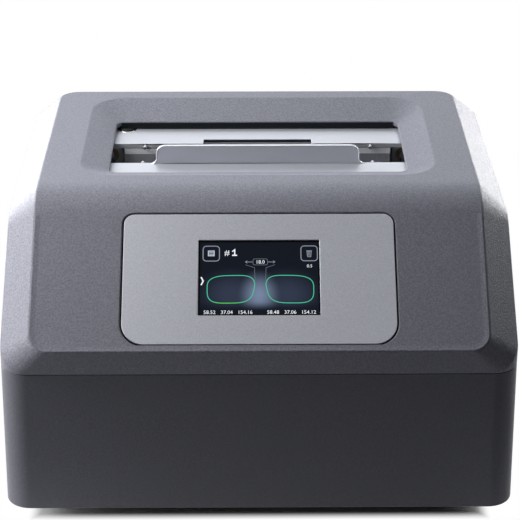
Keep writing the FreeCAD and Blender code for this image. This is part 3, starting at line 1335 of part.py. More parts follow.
upper_cover()
lower_housing()
base()
screen()
jaws()
jaw_drive()
chassis()
cross_stage()
tracing_head()
electronics()
connectors()
doc.recompute()

for item in doc.Objects:
    if "Invalid" in item.State or "Error" in item.State:
        raise RuntimeError(f"{item.Name} did not build")
os.makedirs("parts", exist_ok=True)
for node, item in PARTS.items():
    shape = item.Shape
    if shape.isNull() or not shape.isValid() or not shape.Solids:
        raise RuntimeError(f"{node} has no sound shape")
    shape.exportStep(f"parts/{node}.step")
print(len(PARTS), "sub-parts written")
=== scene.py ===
import json
import logging
import math
from contextlib import contextmanager
from dataclasses import dataclass, field
from enum import Enum
from typing import Any, Callable, Iterable, Iterator, Sequence

import bmesh
import bpy
import numpy as np
from mathutils import Matrix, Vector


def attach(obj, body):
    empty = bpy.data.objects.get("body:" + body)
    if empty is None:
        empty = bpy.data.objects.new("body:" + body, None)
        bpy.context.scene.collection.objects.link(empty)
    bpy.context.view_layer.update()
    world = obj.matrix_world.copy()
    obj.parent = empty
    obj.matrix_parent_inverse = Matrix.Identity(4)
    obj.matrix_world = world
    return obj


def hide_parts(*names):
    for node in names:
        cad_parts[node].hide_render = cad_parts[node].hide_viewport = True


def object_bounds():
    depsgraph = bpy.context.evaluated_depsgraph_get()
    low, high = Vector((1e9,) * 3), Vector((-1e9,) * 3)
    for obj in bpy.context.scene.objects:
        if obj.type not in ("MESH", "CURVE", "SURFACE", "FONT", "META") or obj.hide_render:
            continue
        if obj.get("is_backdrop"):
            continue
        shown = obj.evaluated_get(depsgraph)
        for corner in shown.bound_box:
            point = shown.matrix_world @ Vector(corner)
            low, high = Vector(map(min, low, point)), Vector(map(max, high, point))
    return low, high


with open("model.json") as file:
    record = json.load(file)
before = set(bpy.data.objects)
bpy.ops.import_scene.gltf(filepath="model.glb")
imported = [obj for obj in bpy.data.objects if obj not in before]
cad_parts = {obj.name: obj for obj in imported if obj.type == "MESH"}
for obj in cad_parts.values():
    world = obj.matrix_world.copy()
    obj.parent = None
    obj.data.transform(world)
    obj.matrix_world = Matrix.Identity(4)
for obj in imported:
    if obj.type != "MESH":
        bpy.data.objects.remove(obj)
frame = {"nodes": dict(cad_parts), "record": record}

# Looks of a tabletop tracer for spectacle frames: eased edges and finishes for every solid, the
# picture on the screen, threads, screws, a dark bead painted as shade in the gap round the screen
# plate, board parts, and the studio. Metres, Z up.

LOG = logging.getLogger("tracer")
MM = 0.001
Array = np.ndarray
Colour = tuple[float, float, float]
Plane = tuple[Array, Array, Array]
NOSE_Y, NOSE_Z, FACE_SLOPE = -144.0 * MM, 128.7 * MM, math.radians(40.0)


def display(red: float, green: float, blue: float) -> Colour:
    """Linear colour of a display value.

    Args:
        red, green, blue: display values from 0 to 255.

    Returns:
        The same colour in linear light.
    """
    levels = np.array([red, green, blue]) / 255.0
    linear = np.where(levels <= 0.04045, levels / 12.92, ((levels + 0.055) / 1.055) ** 2.4)
    return tuple(float(level) for level in linear)


def shaded(colour: Colour, factor: float) -> Colour:
    """A colour times a number."""
    return tuple(factor * part for part in colour)


def fitted(thing: Any, **settings: Any) -> Any:
    """A thing of Blender's with its properties set in order."""
    for name, value in settings.items():
        setattr(thing, name, value)
    return thing


# ---- Shader bench ----


def math_node(operation: str, reflected: bool = False) -> Callable[..., "Wire"]:
    """A method of Wire that adds one Math node.

    Args:
        operation: the node's operation.
        reflected: the other value comes first.

    Returns:
        The method, which takes the other values, numbers or wires, and gives the node's result.
    """
    def add(wire: "Wire", *others: Any) -> "Wire":
        """Adds the node."""
        values = (*others, wire) if reflected else (wire, *others)
        return wire.bench.make("ShaderNodeMath", {"operation": operation}, dict(enumerate(values)))

    return add


@dataclass
class Wire:
    """A value on its way through a material, with arithmetic that adds Math nodes."""

    bench: "Bench"
    socket: Any

    __add__ = __radd__ = math_node("ADD")
    __sub__, __rsub__ = math_node("SUBTRACT"), math_node("SUBTRACT", reflected=True)
    __mul__ = __rmul__ = math_node("MULTIPLY")
    __truediv__ = math_node("DIVIDE")
    __pow__ = math_node("POWER")
    least, most = math_node("MINIMUM"), math_node("MAXIMUM")
    size, fraction = math_node("ABSOLUTE"), math_node("FRACT")

    def swing(self, spread: float) -> "Wire":
        """The value's distance from one half, times a spread."""
        return (self - 0.5) * spread


class Bench:
    """One material's node tree."""

    def __init__(self, tree: Any) -> None:
        """Clears the tree."""
        self.tree = tree
        tree.nodes.clear()

    def make(self, kind: str, settings: dict[str, Any] | None = None,
             inputs: dict[Any, Any] | None = None, out: Any = 0) -> Wire:
        """Adds any node.

        Args:
            kind: the node's type.
            settings: properties to set first, such as a Math node's operation.
            inputs: values or wires by socket name or number.
            out: the output that is wanted.

        Returns:
            A wire on that output.
        """
        node = fitted(self.tree.nodes.new(kind), **(settings or {}))
        for key, value in (inputs or {}).items():
            socket = node.inputs[key]
            if isinstance(value, Wire):
                self.tree.links.new(value.socket, socket)
            else:
                wide = socket.type == "RGBA" and len(value) == 3
                socket.default_value = (*value, 1.0) if wide else value
        return Wire(self, node.outputs[out])

    def place(self) -> Wire:
        """The point on the piece, in metres."""
        return self.make("ShaderNodeTexCoord", out="Object")

    def split(self, vector: Wire) -> tuple[Wire, Wire, Wire]:
        """The three parts of a vector."""
        first = self.make("ShaderNodeSeparateXYZ", inputs={0: vector})
        node = first.socket.node
        return first, Wire(self, node.outputs[1]), Wire(self, node.outputs[2])

    def stretched(self, vector: Wire, across: float, along: float, up: float) -> Wire:
        """The vector scaled along X, Y and Z."""
        return self.make("ShaderNodeMapping", inputs={
            "Vector": vector, "Scale": (across, along, up)})

    def noise(self, vector: Wire, scale: float, detail: float = 2.0,
              roughness: float = 0.5) -> Wire:
        """Cloudy noise from 0 to 1, about scale grains to the metre."""
        return self.make("ShaderNodeTexNoise", inputs={
            "Vector": vector, "Scale": scale, "Detail": detail, "Roughness": roughness})

    def cells(self, vector: Wire, scale: float) -> Wire:
        """Distance to the nearest of many scattered points."""
        return self.make("ShaderNodeTexVoronoi", inputs={"Vector": vector, "Scale": scale})

    def rise(self, value: Wire, low: float, high: float, start: float = 0.0,
             end: float = 1.0) -> Wire:
        """A smooth step of value from low to high, between start and end."""
        return self.make("ShaderNodeMapRange", {"interpolation_type": "SMOOTHSTEP"}, {
            "Value": value, "From Min": low, "From Max": high, "To Min": start, "To Max": end})

    def blend(self, share: Any, first: Any, second: Any) -> Wire:
        """Colour from first to second by share."""
        return self.make("ShaderNodeMix", {"data_type": "RGBA"},
                         {0: share, 6: first, 7: second}, out=2)

    def tint(self, colour: Any, factor: Wire) -> Wire:
        """Colour times a value."""
        return self.make("ShaderNodeVectorMath", {"operation": "SCALE"},
                         {0: colour, "Scale": factor})

    def relief(self, height: Wire, depth: float, strength: float = 1.0) -> Wire:
        """Normal of a fine relief whose full height is depth."""
        return self.make("ShaderNodeBump", inputs={
            "Height": height, "Distance": depth, "Strength": strength})

    def finish(self, **sockets: Any) -> None:
        """Ends the material in one surface shader; underscores stand for spaces in socket names."""
        inputs = {name.replace("_", " "): value for name, value in sockets.items()}
        self.end(self.make("ShaderNodeBsdfPrincipled", inputs=inputs))

    def end(self, shader: Wire, kind: str = "ShaderNodeOutputMaterial") -> None:
        """Adds the output node for a shader."""
        node = self.tree.nodes.new(kind)
        self.tree.links.new(shader.socket, node.inputs["Surface"])


# ---- Finishes ----


class Grain(Enum):
    """How noise is scaled along X, Y and Z: lines twelve times as long as wide, or even."""

    ACROSS = (1.0 / 12.0, 1.0, 1.0)
    NONE = (1.0, 1.0, 1.0)


@dataclass(frozen=True)
class Finish:
    """A surface finish; its material is made once."""

    name: str
    colour: Colour
    roughness: float = 0.5

    def material(self) -> bpy.types.Material:
        """The finish's material, made on the first call."""
        found = bpy.data.materials.get("finish_" + self.name)
        if found:
            return found
        made = fitted(bpy.data.materials.new("finish_" + self.name), use_nodes=True)
        self.dress(Bench(made.node_tree))
        return made

    def dress(self, bench: Bench) -> None:
        """Fills the material's nodes."""
        raise NotImplementedError

    def grained(self, bench: Bench, grain: Wire, clouds: float, tone: Sequence[float],
                shine: Sequence[float] = (), **sockets: Any) -> None:
        """Ends the material with a tone and a roughness that swing with a grain and a cloud.

        Args:
            bench: the material's bench.
            grain: the fine pattern, from 0 to 1.
            clouds: scale of the broad noise.
            tone, shine: how far grain and cloud move the tone and the roughness.
            sockets: further values or wires, the roughness too where shine is left out.
        """
        cloud = bench.noise(bench.place(), clouds, 2.0)
        factor = grain.swing(tone[0]) + cloud.swing(tone[1]) + 1.0
        if shine:
            sockets["Roughness"] = (grain.swing(shine[0]) + cloud.swing(shine[1])
                                    + self.roughness)
        bench.finish(Base_Color=bench.tint(self.colour, factor), **sockets)


@dataclass(frozen=True)
class SpeckledPaint(Finish):
    """Baked paint with a fine sandy texture."""

    grains: float = 900.0
    speckle: float = 0.16
    depth: float = 0.00018
    gloss: float = 0.16

    def dress(self, bench: Bench) -> None:
        """Grey paint whose grains differ a little in tone and stand up as a fine relief."""
        place = bench.place()
        grain = bench.rise(bench.noise(place, self.grains, 2.0, 0.6), 0.33, 0.67)
        shine = bench.rise(bench.noise(place, self.grains * 0.45, 2.0), 0.35, 0.7,
                           self.roughness + 0.05, self.roughness - 0.05)
        self.grained(bench, grain, 9.0, (2.0 * self.speckle, 0.05), Roughness=shine,
                     Specular_IOR_Level=self.gloss, Normal=bench.relief(grain, self.depth, 0.55))


@dataclass(frozen=True)
class WorkedMetal(Finish):
    """Bare metal with fine working lines and a sparkle of crystals."""

    grain: Grain = Grain.NONE
    lines: float = 900.0
    depth: float = 0.00003
    spread: float = 0.10

    def dress(self, bench: Bench) -> None:
        """Metal whose tone and roughness follow stretched noise."""
        stretched = bench.stretched(bench.place(), *self.grain.value)
        line = bench.noise(stretched, self.lines, 3.0, 0.6)
        self.grained(bench, line, 22.0, (2.0 * self.spread, 0.06), (0.18, 0.08), Metallic=1.0,
                     Normal=bench.relief(line, self.depth, 0.5))


@dataclass(frozen=True)
class SatinPlate(Finish):
    """Bead-blasted and lacquered aluminium: half metal, half pale film."""

    metal: float = 0.55
    grains: float = 1500.0
    spread: float = 0.10

    def dress(self, bench: Bench) -> None:
        """Pale plate with a fine even sparkle."""
        grain = bench.noise(bench.place(), self.grains, 3.0, 0.7)
        self.grained(bench, grain, 14.0, (2.0 * self.spread, 0.03), (0.14, 0.0),
                     Metallic=self.metal, Normal=bench.relief(grain, 0.00004, 0.5))


@dataclass(frozen=True)
class Moulded(Finish):
    """Moulded plastic or rubber with a faint leather of the mould."""

    grains: float = 1600.0
    depth: float = 0.00004
    coat: float = 0.0
    gloss: float = 0.25

    def dress(self, bench: Bench) -> None:
        """Plastic with small changes of tone and gloss."""
        grain = bench.noise(bench.place(), self.grains, 2.0, 0.6)
        self.grained(bench, grain, 40.0, (0.12, 0.10), (0.08, 0.12), Coat_Weight=self.coat,
                     Coat_Roughness=0.08, Specular_IOR_Level=self.gloss,
                     Normal=bench.relief(grain, self.depth, 0.5))


@dataclass(frozen=True)
class Sintered(Finish):
    """Porous sintered bronze."""

    pores: float = 1700.0

    def dress(self, bench: Bench) -> None:
        """Metal with scattered dark pores."""
        place = bench.place()
        pores = bench.rise(bench.cells(place, self.pores), 0.10, 0.32)
        cloud = bench.noise(place, 120.0, 3.0)
        colour = bench.blend(pores, shaded(self.colour, 0.35), self.colour)
        bench.finish(Base_Color=bench.tint(colour, cloud * 0.3 + 0.85), Metallic=0.9,
                     Roughness=cloud * 0.2 + self.roughness,
                     Normal=bench.relief(pores, 0.00005, 0.6))


@dataclass(frozen=True)
class SolderMask(Finish):
    """Circuit board under green lacquer, with the copper tracks showing through."""

    pitch: float = 0.0032

    def dress(self, bench: Bench) -> None:
        """Tracks run along X or Y in patches; the lacquer is paler above copper."""
        place = bench.place()
        across, along, _ = bench.split(place)
        flat = bench.stretched(place, 1.0, 1.0, 0.0)
        patch = bench.rise(bench.noise(flat, 55.0, 0.0), 0.48, 0.52)
        wander = bench.noise(place, 70.0, 1.0) * 0.9
        first = ((across / self.pitch + wander).fraction() - 0.5).size()
        second = ((along / self.pitch + wander).fraction() - 0.5).size()
        track = bench.rise(first * patch + second * (1.0 - patch), 0.12, 0.17, 1.0, 0.0)
        colour = bench.blend(track, self.colour, shaded(self.colour, 1.9))
        grain = bench.noise(place, 900.0, 2.0)
        bench.finish(Base_Color=bench.tint(colour, grain * 0.2 + 0.9),
                     Roughness=grain * 0.1 + self.roughness,
                     Normal=bench.relief(track, 0.00006, 0.7))


@dataclass(frozen=True)
class PunchedSheet(Finish):
    """Folded sheet metal with rows of small punched holes."""

    pitch: float = 0.006

    def dress(self, bench: Bench) -> None:
        """Round holes on a square pattern, seen on each side, painted near-black as the shade
        inside the case.
        """
        place = bench.place()
        cells = [(part / self.pitch).fraction() - 0.5 for part in bench.split(place)]
        across, along, up = (cell * cell for cell in cells)
        radius = (across + along).least(across + up).least(along + up)
        hole_and_shade = bench.rise(radius, 0.045, 0.060, 1.0, 0.0)
        grain = bench.noise(bench.stretched(place, 1.0, 0.1, 1.0), 800.0, 3.0)
        # The near-black in the holes is painted shade of the case's inside.
        colour = bench.blend(hole_and_shade, self.colour, (0.01, 0.01, 0.012))
        bench.finish(Base_Color=bench.tint(colour, grain * 0.24 + 0.88), Metallic=1.0 - hole_and_shade,
                     Roughness=grain * 0.2 + self.roughness,
                     Normal=bench.relief(1.0 - hole_and_shade, 0.0002, 0.7))


@dataclass(frozen=True)
class ScreenGlow(Finish):
    """Touch glass over a lit panel: a dark picture with a hazy light between the lens outlines."""

    haze: Colour = display(116, 132, 158)
    haze_up: float = 38.5 * MM
    haze_reach: tuple[float, float] = (10.5 * MM, 13.5 * MM)
    veil: Colour = display(46, 54, 72)
    veil_across: float = 17.0 * MM
    veil_reach: tuple[float, float] = (21.0 * MM, 16.5 * MM)
    low_edge: tuple[float, float] = (27.5 * MM, 34.5 * MM)
    high_edge: tuple[float, float] = (66.0 * MM, 75.5 * MM)
    pixel: float = 0.26 * MM
    glass: Colour = (0.004, 0.005, 0.007)

    def dress(self, bench: Bench) -> None:
        """Haze falls off from its middle; up is the way up the sloped face from the nose."""
        across, along, height = bench.split(bench.place())
        up = (along - NOSE_Y) * math.cos(FACE_SLOPE) + (height - NOSE_Z) * math.sin(FACE_SLOPE)
        middle, wide = (
            ((aside / reach[0]) ** 2.0 + ((up - self.haze_up) / reach[1]) ** 2.0) ** 0.5
            for aside, reach in ((across, self.haze_reach),
                                 (across.size() - self.veil_across, self.veil_reach)))
        low = bench.rise(up, *self.low_edge)
        high = bench.rise(up, *self.high_edge, 1.0, 0.35)
        veil = bench.rise(wide, 0.1, 1.25, 1.0, 0.0) * low * high
        core = bench.rise(middle, 0.0, 1.35, 1.0, 0.0) * low * high
        picture = bench.blend(core, bench.blend(veil, self.colour, self.veil), self.haze)
        column, row = (((way / self.pixel).fraction() - 0.5).size() for way in (across, up))
        bench.finish(Base_Color=self.glass, Roughness=self.roughness, Specular_IOR_Level=0.03,
                     Emission_Color=bench.tint(picture, 1.04 - column * row * 0.5),
                     Emission_Strength=1.0)


@dataclass(frozen=True)
class LitLine(Finish):
    """A drawn line of light on the screen, of a second colour round one spot of the panel."""

    second: Colour = (0.5, 0.5, 0.5)
    centre: tuple[float, float] = (-20.0 * MM, -119.0 * MM)
    reach: float = 13.0 * MM

    def dress(self, bench: Bench) -> None:
        """The finish's colour, which turns to the second one nearer than the reach to the spot."""
        across, along, _ = bench.split(bench.place())
        far = ((across - self.centre[0]) ** 2.0 + (along - self.centre[1]) ** 2.0) ** 0.5
        lit = bench.blend(bench.rise(far / self.reach, 0.2, 1.0), self.second, self.colour)
        bench.finish(Base_Color=(0.0, 0.0, 0.0), Roughness=self.roughness, Emission_Color=lit,
                     Emission_Strength=1.0)


class Slot(Enum):
    """The record's material slots: kind of finish, colour, roughness and further values."""

    cover_paint = SpeckledPaint, display(126, 127, 137), 0.52
    housing_paint = SpeckledPaint, display(104, 105, 113), 0.48, 900.0, 0.08, 0.00006
    base_black = SpeckledPaint, display(27, 25, 25), 0.5, 1500.0, 0.14
    foot_rubber = Moulded, display(46, 45, 45), 0.8, 1200.0, 0.00008
    bezel_satin = SatinPlate, display(158, 159, 166), 0.42, 0.55, 1000.0, 0.30
    screen_glass = ScreenGlow, display(13, 17, 27), 0.10
    display_black = Moulded, display(40, 40, 43), 0.55
    zinc_sheet = WorkedMetal, (0.60, 0.61, 0.62), 0.42, Grain.NONE, 260.0, 0.00002, 0.14
    ground_steel = WorkedMetal, (0.72, 0.73, 0.75), 0.20, Grain.NONE, 1600.0, 0.00001, 0.06
    machined_aluminium = WorkedMetal, (0.66, 0.67, 0.69), 0.34, Grain.ACROSS, 1100.0
    jaw_pale = SatinPlate, display(194, 196, 204), 0.36, 0.10, 1300.0, 0.04
    lip_satin = SatinPlate, display(136, 137, 143), 0.38, 0.45
    plug_black = Moulded, display(18, 18, 20), 0.55, 1800.0, 0.00001
    bright_ring = WorkedMetal, (0.80, 0.81, 0.83), 0.18, Grain.NONE, 1800.0, 0.00001, 0.05
    gear_white = Moulded, display(228, 227, 218), 0.45, 1400.0
    bush_bronze = Sintered, (0.34, 0.24, 0.14), 0.42
    motor_black = Moulded, display(52, 52, 55), 0.42, 1300.0, 0.00006
    board_green = SolderMask, (0.018, 0.10, 0.052), 0.32
    supply_case = PunchedSheet, (0.60, 0.61, 0.63), 0.36
    inlet_black = Moulded, display(36, 36, 38), 0.48, 1500.0, 0.00006
    switch_gloss = Moulded, display(30, 30, 32), 0.22, 1500.0, 0.00001, 0.4
    pin_steel = WorkedMetal, (0.40, 0.40, 0.41), 0.40, Grain.NONE, 1500.0, 0.00002, 0.08

    def finish(self) -> Finish:
        """The slot's finish, which bears its name."""
        kind, *values = self.value
        return kind(self.name, *values)


# ---- Surfaces as whole arrays ----


def columns(*parts: Any) -> Array:
    """Arrays and numbers of matching shape, set side by side along a new last axis."""
    return np.stack(np.broadcast_arrays(*parts), axis=-1)


def whole_turn(steps: int) -> Array:
    """Angles round a circle in equal steps."""
    return np.linspace(0.0, 2.0 * math.pi, steps, endpoint=False)


def quarter_turn(steps: int) -> Array:
    """Angles from nothing to a right angle."""
    return np.linspace(0.0, math.pi / 2.0, steps)


def arc(angle: Array, radius: float, centre: Sequence[float] = (0.0, 0.0)) -> Array:
    """Points on a circle: its centre plus the radius times cosine and sine of each angle."""
    return columns(centre[0] + radius * np.cos(angle), centre[1] + radius * np.sin(angle))


def mesh_of(name: str, points: Array, faces: Iterable[Sequence[int]]) -> bpy.types.Mesh:
    """A mesh from points and faces.

    Args:
        name: the mesh's name.
        points: one row of X, Y and Z to a point.
        faces: point numbers of each face, seen turning left from outside.

    Returns:
        The new mesh.
    """
    mesh = bpy.data.meshes.new(name)
    mesh.from_pydata(points.tolist(), [], faces)
    mesh.update()
    return mesh


@contextmanager
def worked(mesh: bpy.types.Mesh) -> Iterator[bmesh.types.BMesh]:
    """Opens a mesh for edge and face work, and writes it back."""
    work = bmesh.new()
    work.from_mesh(mesh)
    yield work
    work.to_mesh(mesh)
    work.free()


def tube(name: str, points: Array, loop: bool = False, flip: bool = False) -> bpy.types.Mesh:
    """A closed skin over rings of points.

    Args:
        name: the mesh's name.
        points: rings by points by X, Y and Z.
        loop: the last ring meets the first one; otherwise one face closes each end.
        flip: names each face's points the other way round.

    Returns:
        The new mesh, its faces turned outwards.
    """
    rows, sides = points.shape[:2]
    row, side = np.arange(rows if loop else rows - 1)[:, None], np.arange(sides)[None, :]
    after, beside = (row + 1) % rows, (side + 1) % sides
    faces = columns(row * sides + side, row * sides + beside,
                    after * sides + beside, after * sides + side).reshape(-1, 4).tolist()
    if not loop:
        faces += [list(range(sides))[::-1], list(range((rows - 1) * sides, rows * sides))]
    if flip:
        faces = [face[::-1] for face in faces]
    mesh = mesh_of(name, points.reshape(-1, 3), faces)
    with worked(mesh) as work:
        bmesh.ops.recalc_face_normals(work, faces=work.faces)
        if work.calc_volume(signed=True) < 0.0:
            bmesh.ops.reverse_faces(work, faces=work.faces)
    return mesh


def lathe(name: str, radii: Array, heights: Array, sides: int) -> bpy.types.Mesh:
    """A turned piece about Z, from the radius and height of each step.

    The point at angle a on step k is (radius k times cosine a, radius k times sine a, height k).
    """
    angle, radius = whole_turn(sides), radii.reshape(len(heights), -1)
    return tube(name, columns(radius * np.cos(angle), radius * np.sin(angle), heights[:, None]))


def carried(name: str, path: Array, profile: Array, plane: Plane,
            closed: bool = True) -> bpy.types.Mesh:
    """A profile carried along a flat path.

    The point at step k of the path and step m of the profile is the path's point, moved sideways
    by the profile's first value along the path's own left side, and out of the plane by its
    second value.

    Args:
        name: the mesh's name.
        path: two plane values to a row.
        profile: sideways and outward values to a row, turning left round the profile.
        plane: origin, first and second direction of the plane.
        closed: the path's end meets its start.

    Returns:
        The mesh.
    """
    ahead, behind = np.roll(path, -1, axis=0), np.roll(path, 1, axis=0)
    if not closed:
        ahead[-1], behind[0] = path[-1], path[0]
    forward, backward = ahead - path, path - behind
    for way, other in ((forward, backward), (backward, forward)):
        still = np.all(way == 0.0, axis=1)
        way[still] = other[still]
    for way in (forward, backward):
        way /= np.linalg.norm(way, axis=1, keepdims=True)
    left = columns(-(forward + backward)[:, 1], (forward + backward)[:, 0])
    left /= np.linalg.norm(left, axis=1, keepdims=True)
    turn = np.sqrt(np.clip((1.0 + np.sum(forward * backward, axis=1)) / 2.0, 0.25, 1.0))
    flat = path[:, None, :] + (left / turn[:, None])[:, None, :] * profile[None, :, :1]
    origin, first, second = plane
    points = (origin + flat[..., :1] * first + flat[..., 1:] * second
              + profile[None, :, 1:] * np.cross(first, second))
    return tube(name, points, closed, flip=True)


def rounded_outline(left: float, low: float, right: float, high: float,
                    radii: float | Sequence[float], steps: int) -> Array:
    """A rectangle with round corners, turning left from the lower left corner.

    Each corner is an arc whose angle runs through a quarter turn.

    Args:
        left, low, right, high: the rectangle's sides.
        radii: one corner radius, or four from the lower left corner round to the upper left.
        steps: points to a corner.

    Returns:
        Two values to a row.
    """
    corners = []
    places = ((left, low, 1, 1), (right, low, -1, 1), (right, high, -1, -1), (left, high, 1, -1))
    for index, (radius, (u, v, way_u, way_v)) in enumerate(zip(np.broadcast_to(radii, 4), places)):
        angle = quarter_turn(steps) + math.pi * (1.0 + 0.5 * index)
        corners.append(arc(angle, radius, (u + way_u * radius, v + way_v * radius)))
    return np.vstack(corners)


def block_profile(half: float, low: float, high: float) -> Array:
    """A flat bar's cross-section, from half left to half right and from low to high."""
    return np.array([[-half, low], [half, low], [half, high], [-half, high]])


def bead_profile(radius: float, low: float, steps: int = 10) -> Array:
    """A half-round bead: an arc of half a turn on a foot at low."""
    half_turn = np.linspace(0.0, math.pi, steps)
    return np.vstack([arc(half_turn, radius), [[-radius, low], [radius, low]]])


def moved(mesh: bpy.types.Mesh, rows: Any, origin: Any) -> bpy.types.Mesh:
    """Turns a mesh onto new directions and moves it.

    Args:
        mesh: the mesh to change.
        rows: the directions that X, Y and Z of the mesh take, one to a row.
        origin: where its origin goes.

    Returns:
        The same mesh.
    """
    placed = points_of(mesh) @ np.asarray(rows, dtype=float) + np.asarray(origin, dtype=float)
    mesh.vertices.foreach_set("co", placed.ravel())
    mesh.update()
    return mesh


def points_of(mesh: bpy.types.Mesh) -> Array:
    """A mesh's points, one row of X, Y and Z to a point."""
    points = np.empty(len(mesh.vertices) * 3)
    mesh.vertices.foreach_get("co", points)
    return points.reshape(-1, 3)


def joined(name: str, meshes: Iterable[bpy.types.Mesh]) -> bpy.types.Mesh:
    """Several meshes as one."""
    result = bpy.data.meshes.new(name)
    with worked(result) as work:
        for mesh in meshes:
            work.from_mesh(mesh)
            bpy.data.meshes.remove(mesh)
    return result


def smooth(mesh: bpy.types.Mesh, degrees: float = 30.0) -> bpy.types.Mesh:
    """Smooth shading with edges kept sharp above an angle."""
    mesh.polygons.foreach_set("use_smooth", np.ones(len(mesh.polygons), dtype=bool))
    mesh.set_sharp_from_angle(angle=math.radians(degrees))
    return mesh


class Turned(Enum):
    """Directions that a turned piece's X, Y and Z take, so that its axis points a given way."""

    UP = ((1, 0, 0), (0, 1, 0), (0, 0, 1))
    DOWN = ((1, 0, 0), (0, -1, 0), (0, 0, -1))
    REAR = ((-1, 0, 0), (0, 0, 1), (0, 1, 0))


# ---- Pieces on the frame ----


BODY_OF = {node: body for body, nodes in frame["record"]["behaviour"]["bodies"].items()
           for node in nodes}
GLASS = -1.2 * MM


def face_plane(out: float = 0.0) -> Plane:
    """A plane out of the sloped face by a length: X across, Y up the slope from the nose."""
    along, rise = math.cos(FACE_SLOPE), math.sin(FACE_SLOPE)
    origin = np.array([0.0, NOSE_Y - out * rise, NOSE_Z + out * along])
    return origin, np.array([1.0, 0.0, 0.0]), np.array([0.0, along, rise])


def shown(name: str, data: Any) -> bpy.types.Object:
    """A new object in the scene."""
    holder = bpy.data.objects.new(name, data)
    bpy.context.scene.collection.objects.link(holder)
    return holder


@dataclass
class Assembly:
    """A group of pieces that belong together."""

    count: int = field(default=0, init=False)

    def put(self, mesh: bpy.types.Mesh, body: str, slot: Slot | None = None,
            finish: Finish | None = None, stands_for: Sequence[str] = ()) -> bpy.types.Object:
        """Puts a mesh into the scene as a piece that rides on a body.

        Args:
            mesh: the piece's mesh, in place.
            body: the body that it moves with.
            slot: the record's slot whose finish it takes.
            finish: a finish of its own, when it isn't the slot's.
            stands_for: solids that it is shown instead of.

        Returns:
            The piece.
        """
        piece = shown(mesh.name, mesh)
        mesh.materials.clear()
        mesh.materials.append((finish or slot.finish()).material())
        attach(piece, body)
        if stands_for:
            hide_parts(*stands_for)
        self.count += 1
        LOG.info("%s: %d faces on %s", mesh.name, len(mesh.polygons), body)
        return piece

    def build(self) -> None:
        """Makes the pieces."""
        raise NotImplementedError


@dataclass
class EasedSolids(Assembly):
    """Every solid of the frame, with its edges eased as a maker would leave them.

    An easing is the width in millimetres and the facets of the round, and the least edge angle in
    degrees.
    """

    slots: dict[str, str] = field(default_factory=lambda: {
        part["node"]: part["material_slot"] for part in frame["record"]["subparts"]})
    easings: dict[str, tuple[float, int, float]] = field(default_factory=lambda: {
        "upper_cover": (0.8, 3, 13.5), "lower_housing": (0.5, 2, 30.0),
        "base_plate": (0.5, 2, 32.0), "bezel_plate": (0.35, 2, 40.0),
        "front_jaw": (0.45, 2, 35.0), "rear_jaw": (0.4, 2, 35.0),
        "rear_grip_block": (0.6, 3, 35.0), "power_supply": (1.0, 3, 35.0)})
    usual: tuple[float, int, float] = (0.3, 2, 32.0)
    plain: tuple[str, ...] = ("jaw_pinion", "turntable_pinion", "encoder_pinion", "front_rack",
                              "rear_rack", "radial_rack", "turntable")
    screw: str = "lead_screw"
    weld: float = 0.001 * MM
    flat: float = math.radians(0.5)

    def merged(self, node: str) -> bpy.types.Mesh:
        """A copy of a solid's mesh whose loose triangles are joined into whole faces.

        Args:
            node: the solid's name.

        Returns:
            The joined mesh.
        """
        source = frame["nodes"][node].data
        points = points_of(source)
        source.calc_loop_triangles()
        corners = np.empty(len(source.loop_triangles) * 3, dtype=np.int64)
        source.loop_triangles.foreach_get("vertices", corners)
        keys = np.round(points / self.weld).astype(np.int64)
        _, first, number = np.unique(keys, axis=0, return_index=True, return_inverse=True)
        triangles = number.ravel()[corners].reshape(-1, 3)
        sound = np.all(triangles != np.roll(triangles, -1, axis=1), axis=1)
        mesh = mesh_of(node + "_eased", points[first], triangles[sound].tolist())
        with worked(mesh) as work:
            bmesh.ops.dissolve_limit(work, angle_limit=self.flat, verts=work.verts,
                                     edges=work.edges)
            bmesh.ops.connect_verts_concave(work, faces=work.faces)
        return mesh

    def build(self) -> None:
        """Copies each solid but the screw with its slot's finish, and eases the edges of all but
        the plain ones.
        """
        for node, slot in self.slots.items():
            if node == self.screw:
                continue
            width, facets, above = self.easings.get(node, self.usual)
            mesh = smooth(self.merged(node), above)
            piece = self.put(mesh, BODY_OF[node], Slot[slot], stands_for=[node])
            if node not in self.plain:
                fitted(piece.modifiers.new("eased_edges", "BEVEL"), width=width * MM,
                       segments=facets, limit_method="ANGLE", angle_limit=math.radians(above),
                       use_clamp_overlap=False, miter_outer="MITER_ARC")
            fitted(piece.modifiers.new("even_shading", "WEIGHTED_NORMAL"), keep_sharp=True,
                   weight=60)


